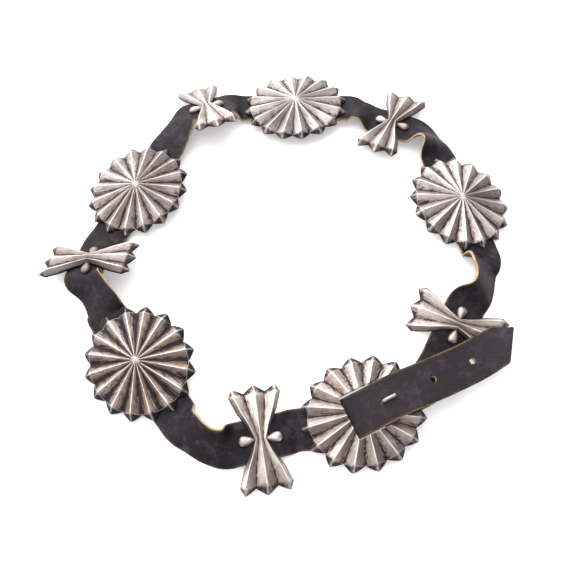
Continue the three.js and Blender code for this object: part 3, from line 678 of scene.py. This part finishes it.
def butterfly_shell(name, material):
    entries = fan_columns()
    columns = len(entries)
    halves = []
    for sign in (-1, 1):
        grid = []
        for i in range(FAN_ROWS + 1):
            share = 1 - (1 - i / FAN_ROWS) ** FAN_ROW_CURVE
            row = []
            for u, t in entries:
                along = fan_rim(u) * share
                y = sign * along * BUTTERFLY_LENGTH / 2
                row.append((fan_x(u, along), y, fan_height(u, along), t, along))
            grid.append(row)
        halves.append(grid)
    full = np.array(halves[0][::-1] + halves[1][1:])
    count = full.shape[0]
    top = full[:, :, :3]
    under = top.copy()
    under[:, :, 0] *= 1 - FAN_SIDE_INSET * SHEET_THICKNESS / CORNER_SPREAD
    under[:, :, 1] *= 1 - FAN_END_INSET * SHEET_THICKNESS / BUTTERFLY_LENGTH
    under[:, :, 2] = np.maximum(top[:, :, 2] - SHEET_THICKNESS, 0)
    border = [(i, 0) for i in range(count)]
    border += [(count - 1, j) for j in range(1, columns)]
    border += [(i, columns - 1) for i in range(count - 2, -1, -1)]
    border += [(0, j) for j in range(columns - 2, 0, -1)]
    for i, j in border:
        under[i, j, 2] = 0
    skirt = np.array([[top[i, j, 0], top[i, j, 1], 0] for i, j in border])
    points = np.concatenate([top.reshape(-1, 3), under.reshape(-1, 3), skirt])
    under_start = count * columns
    skirt_start = 2 * under_start
    faces = grid_faces(count, columns, False)
    faces += grid_faces(count, columns, False, start=under_start, turned=True)
    for k in range(len(border)):
        n = (k + 1) % len(border)
        a = border[k][0] * columns + border[k][1]
        b = border[n][0] * columns + border[n][1]
        faces.append((b, a, skirt_start + k, skirt_start + n))
        faces.append((skirt_start + n, skirt_start + k, under_start + a, under_start + b))
    groove = full[:, :, 3].ravel()
    lobe = np.tile(np.array([u for u, t in entries]), count)
    along = full[:, :, 4].ravel()
    # hip marks the steep end facets, which the material darkens as painted shade
    hips = np.clip((along - FAN_HIP_START) / HIP_FADE, 0, 1)
    border_t = np.array([full[i, j, 3] for i, j in border])
    attributes = {
        "groove": np.concatenate([groove, groove, border_t]),
        "reach": np.concatenate([along, along, np.ones(len(border))]),
        "hip": np.concatenate([hips, hips, np.ones(len(border))]),
        "under": np.concatenate([np.zeros(groove.size), np.ones(groove.size), np.zeros(len(border))]),
        "around": np.concatenate([lobe, lobe, np.zeros(len(border))]),
    }
    return new_object(f"{name}_silver", to_world(name, points), faces, attributes, material)


# A raised drop beside the waist, pointed at the waist and domed
def waist_drop(name, sign, material):
    start = FAN_CREST[0] * TIP_SPREAD / 2
    length = DROP_REACH - start
    sides = 36
    points = []
    for size, height in zip(DROP_SIZES, DROP_RISES):
        for i in range(sides):
            angle = 2 * math.pi * i / sides
            share = (1 - math.cos(angle)) / 2
            width = DROP_WIDTH / 2 * math.sin(angle) * (DROP_POINT + (1 - DROP_POINT) * share) * size
            along = start + length * (DROP_FULLEST + (share - DROP_FULLEST) * size)
            points.append((sign * along, width, DROP_HEIGHT * height))
    faces = grid_faces(len(DROP_SIZES), sides, True)
    for height in (DROP_HEIGHT, 0):
        points.append((sign * (start + length * DROP_FULLEST), 0, height))
    last = (len(DROP_SIZES) - 1) * sides
    for i in range(sides):
        n = (i + 1) % sides
        faces.append((last + i, last + n, len(points) - 2))
        faces.append((n, i, len(points) - 1))
    heights = np.array([point[2] for point in points]) / DROP_HEIGHT
    attributes = even_attributes(len(points), np.clip(0.95 - 0.7 * heights, 0, 1), 0)
    side = "front" if sign > 0 else "back"
    return new_object(f"{name}_drop_{side}", to_world(name, points), faces, attributes, material)


# A line in y and z that comes down at one side, runs across and goes up at the other
def bent_line(side, bottom, bend, top):
    steps = 6
    line = [(-side, top)]
    for middle, first in ((-side + bend, math.pi), (side - bend, 1.5 * math.pi)):
        for i in range(steps + 1):
            angle = first + math.pi / 2 * i / steps
            line.append((middle + bend * math.cos(angle), bottom + bend + bend * math.sin(angle)))
    line.append((side, top))
    return np.array(line)


def directions_along(line, closed=False):
    around = np.roll(line, -1, axis=0) - np.roll(line, 1, axis=0)
    tangent = around if closed else np.gradient(line, axis=0)
    return tangent / np.linalg.norm(tangent, axis=1)[:, None]


def end_caps(rows, columns):
    last = (rows - 1) * columns
    return [tuple(range(columns)), tuple(range(last, last + columns))[::-1]]


# The keeper soldered inside a plate: a strip under the strap with two legs, as one bent band
def keeper(name, material, leg_height):
    side = STRAP_WIDTH / 2 + KEEPER_SIDE_ROOM + KEEPER_THICKNESS / 2
    bottom = -(2 * FIT_GAP + STRAP_THICKNESS + KEEPER_THICKNESS / 2)
    line = bent_line(side, bottom, KEEPER_BEND, leg_height)
    points = []
    for (y, z), (along_y, along_z) in zip(line, directions_along(line)):
        for x_share, out_share in zip(KEEPER_WIDE, KEEPER_THICK):
            out = out_share * KEEPER_THICKNESS / 2
            points.append((x_share * KEEPER_WIDTH / 2, y - along_z * out, z + along_y * out))
    columns = len(KEEPER_WIDE)
    faces = grid_faces(len(line), columns, True) + end_caps(len(line), columns)
    attributes = even_attributes(len(points), 0.6, 1)
    return new_object(f"{name}_keeper", to_world(name, points), faces, attributes, material, smooth=False)


def join(objects, name):
    bpy.ops.object.select_all(action="DESELECT")
    for obj in objects:
        obj.select_set(True)
    bpy.context.view_layer.objects.active = objects[0]
    bpy.ops.object.join()
    objects[0].name = name
    objects[0].data.name = name
    return objects[0]


# A round tube along points of the buckle's frame; reference: a direction that the line never takes
def tube(name, line, radius, material, reference, groove, under, closed=False):
    line = np.array(line)
    count = len(line)
    points = []
    for point, along in zip(line, directions_along(line, closed)):
        first = reference - along * np.dot(reference, along)
        first /= np.linalg.norm(first)
        second = np.cross(along, first)
        for k in range(ROUND_SIDES):
            angle = 2 * math.pi * k / ROUND_SIDES
            points.append(point + radius * (first * math.cos(angle) + second * math.sin(angle)))
    faces = grid_faces(count, ROUND_SIDES, True)
    if closed:
        last = (count - 1) * ROUND_SIDES
        for k in range(ROUND_SIDES):
            n = (k + 1) % ROUND_SIDES
            faces.append((last + k, last + n, n, k))
    else:
        faces += end_caps(count, ROUND_SIDES)
    attributes = even_attributes(len(points), groove, under)
    return new_object(name, to_world("buckle", points), faces, attributes, material)


# A smooth curve through points, as count + 1 points
def smooth_line(points, count):
    points = np.array(points, dtype=float)
    padded = np.vstack([2 * points[0] - points[1], points, 2 * points[-1] - points[-2]])
    result = []
    spans = len(points) - 1
    for i in range(count + 1):
        place = i / count * spans
        k = min(int(place), spans - 1)
        t = place - k
        a, b, c, d = padded[k : k + 4]
        bend = (2 * a - 5 * b + 4 * c - d) * t**2 + (3 * b - a - 3 * c + d) * t**3
        result.append(0.5 * (2 * b + (c - a) * t + bend))
    return result


# A wire hook: an eye round the bar, and a shank up through the first hole and along the strap
def tongue(material):
    eye_radius = BAR_DIAMETER / 2 + ROUND_GAP + TONGUE_WIRE / 2
    eye_steps = 40
    eye = []
    for i in range(eye_steps):
        angle = 2 * math.pi * i / eye_steps
        eye.append((BAR_OFFSET + eye_radius * math.cos(angle), 0, -BAR_DROP + eye_radius * math.sin(angle)))
    before, after = WAY_THROUGH[BEFORE_TONGUE], WAY_THROUGH[AFTER_TONGUE]
    half = BUCKLE["length"] / 2
    share = (BAR_OFFSET / half - before["forward"]) / (after["forward"] - before["forward"])
    rise = before["rise"] + (after["rise"] - before["rise"]) * share
    strap_top = rise * STRAP_WIDTH + STRAP_THICKNESS / 2
    lie = after["rise"] * STRAP_WIDTH + STRAP_THICKNESS / 2 + ROUND_GAP + TONGUE_WIRE / 2
    clear = lie + 0.1 * MM
    route = [
        (BAR_OFFSET, 0, -BAR_DROP + eye_radius),
        (BAR_OFFSET, 0, (strap_top - BAR_DROP + eye_radius) / 2),
        (BAR_OFFSET, 0, strap_top),
        (BAR_OFFSET + 0.35 * TONGUE_WIRE, 0, lie - 0.35 * TONGUE_WIRE),
        (BAR_OFFSET + 1.4 * TONGUE_WIRE, 0, clear),
        (BAR_OFFSET + TONGUE_REACH + 0.8 * MM, 0, clear),
    ]
    across = np.array([0, 1.0, 0])
    ring = tube("tongue_eye", eye, TONGUE_WIRE / 2, material, across, 0.25, 0, closed=True)
    shank = tube("tongue_shank", smooth_line(route, 44), TONGUE_WIRE / 2, material, across, 0.25, 0)
    return join([ring, shank], "tongue_silver")


def buckle_bar(material):
    side = STRAP_WIDTH / 2 + OPENING_SIDE_ROOM + BAR_DIAMETER / 2
    flat = bent_line(side, -BAR_DROP, BAR_BEND, BAR_TOP)
    line = np.column_stack([np.full(len(flat), BAR_OFFSET), flat])
    return tube("buckle_bar", line, BAR_DIAMETER / 2, material, np.array([1.0, 0, 0]), 0.6, 1)


# The strap's edges at a distance left to its point
def strap_outline(left):
    inner_share = min(1, left / POINT_INNER_CUT)
    outer_share = min(1, left / POINT_OUTER_CUT)
    inner_tip = POINT_INWARD + POINT_WIDTH / 2
    outer_tip = POINT_INWARD - POINT_WIDTH / 2
    inner = inner_tip + (STRAP_WIDTH / 2 - inner_tip) * inner_share
    outer = outer_tip - (STRAP_WIDTH / 2 + outer_tip) * outer_share
    return inner, outer


# The strap's section, round once: rows of place across, place through it, and rawness of the edge
def strap_section(inner, outer):
    half = STRAP_THICKNESS / 2
    corner = min(EDGE_ROUNDING, (inner - outer) / 4)
    left, right = outer + corner, inner - corner
    low, high = corner - half, half - corner
    flat = np.linspace(left, right, 17)

    def rounded(y, z, angles):
        turns = [math.radians(angle) for angle in angles]
        return [(y + corner * math.cos(turn), z + corner * math.sin(turn), 0.8) for turn in turns]

    section = [(y, -half, 0.0) for y in flat]
    section += rounded(right, low, (-60, -30))
    section += [(inner, z, 1.0) for z in (low, 0, high)]
    section += rounded(right, high, (30, 60))
    section += [(y, half, 0.0) for y in flat[::-1]]
    section += rounded(left, high, (120, 150))
    section += [(outer, z, 1.0) for z in (high, 0, low)]
    section += rounded(left, low, (210, 240))
    return section


def strap_mesh(material):
    path = strap_path(PATH_STEP)
    first_hole = tongue_distance(path)
    length = first_hole + HOLES[-1] + LAST_HOLE_TO_POINT
    spare = 0.4 * MM
    kept = [station for station in path if station["distance"] < length - POINT_OUTER_CUT - spare]
    for cut in (POINT_OUTER_CUT, 15 * MM, POINT_INNER_CUT, 10 * MM, 8 * MM, 6 * MM, 4 * MM, 2 * MM, 0):
        kept.append(station_at(path, length - cut))
    rng = np.random.default_rng(7)
    waves = [(rng.uniform(0.02, 0.11), rng.uniform(0, 6.28), rng.uniform(0.03, 0.10)) for _ in range(6)]

    def ripple(wave, s):
        return abs(sum(size * wave(rate * s + start) for rate, start, size in waves)) * EDGE_RIPPLE

    points, raw_edge, across, along = [], [], [], []
    for station in kept:
        left = length - station["distance"]
        inner, outer = strap_outline(left)
        if left >= POINT_OUTER_CUT:
            s = station["distance"] / MM
            inner -= ripple(math.sin, s)
            outer += ripple(math.cos, 0.9 * s)
        for y, z, raw in strap_section(inner, outer):
            points.append(station["point"] + station["across"] * y + station["normal"] * z)
            raw_edge.append(raw)
            across.append(y / STRAP_WIDTH)
            along.append(station["distance"])
    columns = len(points) // len(kept)
    faces = grid_faces(len(kept), columns, True) + end_caps(len(kept), columns)
    attributes = {"edge": raw_edge, "across": across, "along": along}
    obj = new_object("strap_leather", points, faces, attributes, material)
    return obj, path, first_hole


def cylinder_cutter(point, direction, radius, depth):
    bpy.ops.mesh.primitive_cylinder_add(vertices=48, radius=radius, depth=depth, location=point)
    cutter = bpy.context.object
    cutter.rotation_mode = "QUATERNION"
    cutter.rotation_quaternion = Vector(direction).to_track_quat("Z", "Y")
    return cutter


# Holes, the rivet's bore and the tongue's slot, cut out of the strap
def cut_strap(strap, path, first_hole):
    axes, centre = FRAMES["buckle"]
    cutters = []
    holes = [station_at(path, first_hole + place) for place in HOLES]
    through = 2 * STRAP_THICKNESS
    for hole in holes:
        cutters.append(cylinder_cutter(hole["point"], hole["normal"], HOLE_DIAMETER / 2, through))
    rivet_point = centre + axes[0] * (BAR_OFFSET + RIVET_OFFSET) - axes[2] * FLAP_DEPTH
    bore = RIVET_STEM / 2 + ROUND_GAP
    cutters.append(cylinder_cutter(rivet_point, axes[2], bore, 4 * STRAP_THICKNESS))
    side = TONGUE_WIRE / 2 + ROUND_GAP
    reach = BAR_DIAMETER / 2 + 2 * ROUND_GAP + TONGUE_WIRE
    bpy.ops.mesh.primitive_cube_add(size=1)
    slot = bpy.context.object
    slot_centre = centre + axes[0] * BAR_OFFSET - axes[2] * BAR_DROP
    rotation = Matrix(axes.T.tolist()).to_4x4()
    size = Matrix.Diagonal((2 * reach, 2 * side, 2 * reach, 1))
    slot.matrix_world = Matrix.Translation(slot_centre) @ rotation @ size
    cutters.append(slot)
    original = strap.data.copy()
    for cutter in cutters:
        modifier = strap.modifiers.new("cut", "BOOLEAN")
        modifier.operation = "DIFFERENCE"
        modifier.solver = "EXACT"
        modifier.object = cutter
        bpy.context.view_layer.update()
        bpy.context.view_layer.objects.active = strap
        bpy.ops.object.modifier_apply(modifier=modifier.name)
    for cutter in cutters:
        bpy.data.objects.remove(cutter, do_unlink=True)
    repair_attributes(strap, original)
    mark_holes(strap, holes)


# Cut corners take their values from the nearest corner of the uncut strap
def repair_attributes(strap, original):
    tree = KDTree(len(original.vertices))
    for vertex in original.vertices:
        tree.insert(vertex.co, vertex.index)
    tree.balance()
    for key in ("edge", "across", "along"):
        source = np.empty(len(original.vertices), dtype=np.float32)
        original.attributes[key].data.foreach_get("value", source)
        layer = strap.data.attributes.get(key) or strap.data.attributes.new(key, "FLOAT", "POINT")
        values = [source[tree.find(vertex.co)[1]] for vertex in strap.data.vertices]
        layer.data.foreach_set("value", np.array(values, dtype=np.float32))


# The walls of the holes show raw leather
def mark_holes(strap, holes):
    layer = strap.data.attributes.new("hole", "FLOAT", "FACE")
    values = np.zeros(len(strap.data.polygons), dtype=np.float32)
    for hole in holes:
        for face in strap.data.polygons:
            offset = np.array(face.center) - hole["point"]
            height = np.dot(offset, hole["normal"])
            distance = np.linalg.norm(offset - hole["normal"] * height)
            if distance < HOLE_DIAMETER / 2 and abs(height) < STRAP_THICKNESS:
                values[face.index] = 1
    layer.data.foreach_set("value", values)


# Materials
# The brown and gold films and the tarnish are the patina of the hollows, and also paint shade on the hips
BROWN_FILM_AND_HIP_SHADE = (0.215, 0.175, 0.160)
GOLD_FILM_AND_HIP_SHADE = (0.40, 0.225, 0.085)
TARNISH_AND_HIP_SHADE = (0.030, 0.022, 0.024)
WORN_SILVER_AND_HIGHLIGHT = (0.86, 0.82, 0.77)
# Painted shade for the undersides of the plates, the keepers and the buckle's bar
UNDERSIDE_PAINTED_SHADE = (0.10, 0.08, 0.07)
LEATHER_DARK = (0.0078, 0.0064, 0.0088)
LEATHER_PATCH = (0.019, 0.0158, 0.0190)
LEATHER_FREE_END = (0.027, 0.0205, 0.0240)
LEATHER_MOTTLE = (0.052, 0.043, 0.052)
LEATHER_FIBRE = (0.058, 0.046, 0.044)
LEATHER_WORN = (0.20, 0.135, 0.080)
RAW_LIGHT = (0.52, 0.38, 0.22)
RAW_DARK = (0.34, 0.23, 0.12)
PAPER_COLOUR = (0.93, 0.93, 0.935)
FREE_END_FROM = 800 * MM
FREE_END_FULL = 860 * MM


# Short forms for the nodes of a material or a world
class Nodes:
    def __init__(self, owner, shader="BsdfPrincipled", output="OutputMaterial"):
        owner.use_nodes = True
        self.owner = owner
        self.tree = owner.node_tree
        self.tree.nodes.clear()
        self.shader = self.node(shader, {})
        self.node(output, {"Surface": self.shader.outputs[0]})

    # A constant or a link, whichever the value is
    def put(self, value, socket):
        if isinstance(value, bpy.types.NodeSocket):
            self.tree.links.new(value, socket)
        else:
            socket.default_value = (*value, 1) if socket.type == "RGBA" else value

    def node(self, kind, inputs, **settings):
        node = self.tree.nodes.new("ShaderNode" + kind)
        for key, value in settings.items():
            setattr(node, key, value)
        for key, value in inputs.items():
            self.put(value, node.inputs[key])
        return node

    def feed(self, value, name):
        self.put(value, self.shader.inputs[name])

    def attribute(self, name):
        return self.node("Attribute", {}, attribute_name=name).outputs["Fac"]

    def coordinates(self):
        return self.node("TexCoord", {}).outputs["Object"]

    def noise(self, scale, detail=4, roughness=0.55, vector=None):
        inputs = {"Scale": scale, "Detail": detail, "Roughness": roughness}
        inputs["Vector"] = vector or self.coordinates()
        return self.node("TexNoise", inputs).outputs["Fac"]

    def cells(self, scale):
        inputs = {"Scale": scale, "Vector": self.coordinates()}
        return self.node("TexVoronoi", inputs).outputs["Distance"]

    def combine(self, *parts):
        return self.node("CombineXYZ", dict(zip("XYZ", parts))).outputs[0]

    def math(self, operation, a, b=0.0):
        return self.node("Math", {0: a, 1: b}, operation=operation).outputs[0]

    def times(self, a, b):
        return self.math("MULTIPLY", a, b)

    # Moves a value up and down with a texture whose middle is one half
    def vary(self, value, texture, share):
        return self.math("ADD", value, self.times(self.math("SUBTRACT", texture, 0.5), share))

    def ramp(self, value, low, high, start=0.0, end=1.0):
        inputs = {"Value": value, "From Min": low, "From Max": high, "To Min": start, "To Max": end}
        return self.node("MapRange", inputs, interpolation_type="SMOOTHSTEP").outputs["Result"]

    def mix(self, factor, a, b):
        inputs = {"Factor": factor, "A": a, "B": b}
        return self.node("Mix", inputs, data_type="RGBA").outputs["Result"]

    def bump(self, height, distance, strength, normal=None):
        inputs = {"Height": height, "Distance": distance, "Strength": strength}
        if normal is not None:
            inputs["Normal"] = normal
        return self.node("Bump", inputs).outputs["Normal"]


# Worn silver, darker in its valleys with tarnish, darker on its hips with painted shade, brighter on its
# crests and ridges with a painted highlight that is partly wear, and darker underneath with painted shade.
# film: how far the brown film comes up from the valleys; depth: how far the black tarnish does; warmth:
# share of gold in the film; pits: how much of it is pitted.
def silver(look):
    nodes = Nodes(bpy.data.materials.new(look["name"]))
    bright, film, depth, pits = (look[key] for key in ("bright", "film", "depth", "pits"))
    groove = nodes.attribute("groove")
    hip = nodes.attribute("hip")
    around = nodes.times(nodes.attribute("around"), 11.0)
    outwards = nodes.times(nodes.attribute("reach"), 5.0)
    file_marks = nodes.combine(around, outwards, nodes.times(nodes.noise(25, 1), 30.0))
    lines = nodes.noise(1.0, 4, 0.65, file_marks)
    specks = nodes.noise(520, 4, 0.6)
    place = nodes.vary(groove, nodes.noise(75, 5, 0.6), 0.7)
    streaks = nodes.ramp(lines, 0.34, 0.68)
    place = nodes.vary(place, streaks, 0.55)
    place = nodes.vary(place, specks, 0.2)
    # Painted shade on the hips: their steep end facets are pushed into the film and tarnish colours
    place = nodes.math("ADD", place, nodes.times(hip, 0.80))
    brown = nodes.ramp(place, 0.55 - film, 1.30 - film)
    valley = nodes.ramp(groove, 0.86, 0.97, 0.0, 0.30)
    black = nodes.ramp(nodes.math("ADD", place, valley), 1.05 - depth, 1.42 - depth)
    gold_patches = nodes.ramp(nodes.noise(60, 3, 0.6), 0.40, 0.62)
    gold = nodes.times(nodes.times(gold_patches, nodes.ramp(streaks, 0.2, 0.9)), look["warmth"])
    shade = tuple(0.55 * part for part in bright)
    facet = nodes.mix(nodes.ramp(nodes.noise(45, 3, 0.55), 0.38, 0.66), bright, shade)
    colour = nodes.mix(brown, facet, nodes.mix(gold, BROWN_FILM_AND_HIP_SHADE, GOLD_FILM_AND_HIP_SHADE))
    colour = nodes.mix(black, colour, TARNISH_AND_HIP_SHADE)
    # Painted highlight, partly wear: crests, hip ridges and middles are lightened towards worn silver, less
    # on the hips
    crest = nodes.times(nodes.ramp(groove, 0.03, 0.13, 1.0, 0.0), nodes.ramp(hip, 0.0, 1.0, 1.0, 0.3))
    edges = nodes.math("MAXIMUM", crest, nodes.ramp(nodes.attribute("ridge"), 0.45, 1.0))
    worn = nodes.ramp(nodes.noise(160, 4, 0.6), 0.30, 0.55, 0.35, 0.9)
    colour = nodes.mix(nodes.times(edges, worn), colour, WORN_SILVER_AND_HIGHLIGHT)
    # Painted shade: undersides, keepers and the buckle's bar are darkened as if in shadow
    colour = nodes.mix(nodes.times(nodes.attribute("under"), 0.7), colour, UNDERSIDE_PAINTED_SHADE)
    nodes.feed(colour, "Base Color")
    nodes.feed(nodes.ramp(black, 0.0, 1.0, 1.0, 0.8), "Metallic")
    smooth = nodes.ramp(brown, 0, 1, 0.39, 0.49)
    nodes.feed(nodes.math("ADD", smooth, nodes.times(specks, 0.10)), "Roughness")
    pit = nodes.ramp(nodes.cells(850), 0.0, 0.35)
    pit_area = nodes.ramp(nodes.noise(110, 2), 0.68 - 0.3 * pits, 0.80 - 0.25 * pits)
    pit = nodes.math("MAXIMUM", pit, nodes.math("SUBTRACT", 1.0, pit_area))
    normal = nodes.bump(nodes.noise(190, 3), 0.6 * MM, 0.45)
    normal = nodes.bump(lines, 0.25 * MM, 0.35, normal)
    normal = nodes.bump(nodes.noise(1400, 3), 0.1 * MM, 0.4, normal)
    normal = nodes.bump(pit, 0.2 * MM, 0.2 + 0.7 * pits, normal)
    nodes.feed(normal, "Normal")
    return nodes.owner


# Dark leather, lighter and worn on its free end, with raw edges and holes
def leather():
    nodes = Nodes(bpy.data.materials.new("leather"))
    across = nodes.attribute("across")
    along = nodes.attribute("along")
    fibres = nodes.noise(3.0, 5, 0.65, nodes.combine(nodes.times(along, 60.0), nodes.times(across, 14.0)))
    patches = nodes.noise(38, 5, 0.6)
    base = nodes.mix(nodes.ramp(patches, 0.35, 0.72), LEATHER_DARK, LEATHER_PATCH)
    free_end = nodes.ramp(along, FREE_END_FROM, FREE_END_FULL)
    base = nodes.mix(nodes.times(free_end, 0.8), base, LEATHER_FREE_END)
    mottle = nodes.ramp(nodes.noise(130, 5, 0.7), 0.46, 0.72, 0.0, 0.75)
    base = nodes.mix(mottle, base, LEATHER_MOTTLE)
    base = nodes.mix(nodes.ramp(fibres, 0.5, 0.8, 0.0, 0.5), base, LEATHER_FIBRE)
    border = nodes.ramp(nodes.math("ABSOLUTE", across), 0.44, 0.495)
    worn = nodes.times(border, nodes.ramp(nodes.noise(70, 4), 0.35, 0.6))
    base = nodes.mix(nodes.times(worn, 0.6), base, LEATHER_WORN)
    cut = nodes.mix(nodes.ramp(nodes.noise(240, 3), 0.35, 0.7), RAW_LIGHT, RAW_DARK)
    raw = nodes.ramp(nodes.attribute("edge"), 0.82, 0.98)
    raw = nodes.math("MAXIMUM", raw, nodes.attribute("hole"))
    nodes.feed(nodes.mix(raw, base, cut), "Base Color")
    rough = nodes.ramp(patches, 0.3, 0.75, 0.45, 0.62)
    nodes.feed(nodes.math("MAXIMUM", rough, nodes.times(raw, 0.85)), "Roughness")
    nodes.feed(0.11, "Specular IOR Level")
    normal = nodes.bump(nodes.cells(1400), 0.12 * MM, 0.35)
    normal = nodes.bump(fibres, 0.2 * MM, 0.35, normal)
    normal = nodes.bump(nodes.noise(120, 4), 0.5 * MM, 0.35, normal)
    nodes.feed(normal, "Normal")
    return nodes.owner


# White paper that glows a little
def paper():
    nodes = Nodes(bpy.data.materials.new("paper"))
    nodes.feed(PAPER_COLOUR, "Base Color")
    nodes.feed(0.8, "Roughness")
    nodes.feed((1, 1, 1), "Emission Color")
    nodes.feed(0.3, "Emission Strength")
    return nodes.owner


# Stage
AIM = Vector((2.33 * MM, -22.26 * MM, 0))
CAMERA_DISTANCE = 467 * MM
CAMERA_ELEVATION = math.radians(62)
LENS = 45
SENSOR_WIDTH = 36
BRIGHT_SIDE = (-0.45, 0.60, 0.66)
STUDIO_DARK = (0.16, 0.145, 0.15)
STUDIO_BRIGHT = (1.55, 1.52, 1.55)
STUDIO_STRENGTH = 1.6


def add_camera():
    data = bpy.data.cameras.new("camera")
    data.lens = LENS
    data.sensor_width = SENSOR_WIDTH
    camera = bpy.data.objects.new("camera", data)
    offset = Vector((0, -math.cos(CAMERA_ELEVATION), math.sin(CAMERA_ELEVATION)))
    camera.location = AIM + offset * CAMERA_DISTANCE
    camera.rotation_euler = (-offset).to_track_quat("-Z", "Y").to_euler()
    bpy.context.collection.objects.link(camera)
    bpy.context.scene.camera = camera


def add_area(name, location, size, energy):
    data = bpy.data.lights.new(name, "AREA")
    data.shape = "RECTANGLE"
    data.size, data.size_y = size
    data.energy = energy
    light = bpy.data.objects.new(name, data)
    light.location = location
    light.rotation_euler = (AIM - Vector(location)).to_track_quat("-Z", "Y").to_euler()
    bpy.context.collection.objects.link(light)


# A studio that is bright at the back and on the left, and dark towards the front
def add_world():
    nodes = Nodes(bpy.data.worlds.new("studio"), "Background", "OutputWorld")
    place = nodes.node("TexCoord", {}).outputs["Generated"]
    towards = nodes.node("VectorMath", {0: place, 1: BRIGHT_SIDE}, operation="DOT_PRODUCT")
    fade = nodes.ramp(towards.outputs["Value"], -0.05, 0.95)
    nodes.feed(nodes.mix(fade, STUDIO_DARK, STUDIO_BRIGHT), "Color")
    nodes.feed(STUDIO_STRENGTH, "Strength")
    bpy.context.scene.world = nodes.owner


# The floor, the studio, a window on the bright side and a weak light in front
def add_stage():
    bpy.ops.mesh.primitive_plane_add(size=6, location=(0, 0, 0))
    floor = bpy.context.object
    floor.name = "floor"
    floor.data.materials.append(paper())
    add_world()
    add_area("window", tuple(1.25 * part for part in BRIGHT_SIDE), (2.4, 1.8), 13)
    add_area("front_fill", (0.25, -0.9, 0.9), (0.9, 0.5), 3)
    bpy.context.scene.view_settings.view_transform = "Standard"


# Assembly
SILVER_LOOKS = table(
    "node name bright film depth warmth pits",
    ("concho_1", "silver_right", (0.50, 0.455, 0.44), 0.34, 0.26, 0.15, 0.15),
    ("concho_2", "silver_top", (0.56, 0.525, 0.51), 0.30, 0.24, 0.10, 0.15),
    ("concho_3", "silver_upper_left", (0.56, 0.505, 0.48), 0.44, 0.36, 0.45, 0.5),
    ("concho_4", "silver_lower_left", (0.58, 0.50, 0.45), 0.72, 0.62, 0.9, 0.25),
    ("buckle", "silver_buckle", (0.58, 0.52, 0.48), 0.40, 0.34, 0.5, 0.15),
    ("butterfly_1", "dull_silver_right", (0.56, 0.505, 0.475), 0.24, 0.14, 0.5, 0.5),
    ("butterfly_2", "dull_silver_top_right", (0.53, 0.465, 0.44), 0.35, 0.13, 0.3, 0.4),
    ("butterfly_3", "dull_silver_top_left", (0.54, 0.485, 0.46), 0.26, 0.04, 0.1, 1.0),
    ("butterfly_4", "dull_silver_left", (0.36, 0.315, 0.305), 0.46, 0.26, 0.2, 0.8),
    ("butterfly_5", "dull_silver_bottom", (0.70, 0.62, 0.575), 0.20, 0.12, 0.5, 0.4),
    ("buckle_tongue", "silver_tongue", (0.66, 0.64, 0.63), 0.45, 0.25, 0.1, 0.1),
    ("strap_rivet", "silver_rivet", (0.70, 0.64, 0.60), 0.3, 0.1, 0.2, 0.1),
)


def build():
    add_camera()
    add_stage()
    looks = {row["node"]: silver(row) for row in SILVER_LOOKS}
    for index, name in enumerate(CONCHO_NAMES):
        shell = fluted_plate(name, CONCHO, looks[name], CONCHO_SEED + index)
        piece = join([shell, keeper(name, looks[name], CONCHO_LEG)], f"{name}_silver")
        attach(piece, "root")
        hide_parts(name)
    for name in BUTTERFLY_NAMES:
        look = looks[name]
        pieces = [butterfly_shell(name, look), waist_drop(name, -1, look), waist_drop(name, 1, look)]
        pieces.append(keeper(name, look, BUTTERFLY_LEG))
        piece = join(pieces, f"{name}_silver")
        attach(piece, "root")
        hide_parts(name)
    ring = fluted_plate("buckle", BUCKLE, looks["buckle"], BUCKLE_SEED, opening=True)
    piece = join([ring, buckle_bar(looks["buckle"])], "buckle_silver")
    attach(piece, "root")
    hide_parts("buckle")
    hook = tongue(looks["buckle_tongue"])
    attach(hook, "root")
    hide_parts("buckle_tongue")
    strap, path, first_hole = strap_mesh(leather())
    cut_strap(strap, path, first_hole)
    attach(strap, "root")
    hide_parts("strap")
    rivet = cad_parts["strap_rivet"]
    rivet.data.materials[0] = looks["strap_rivet"]


build()
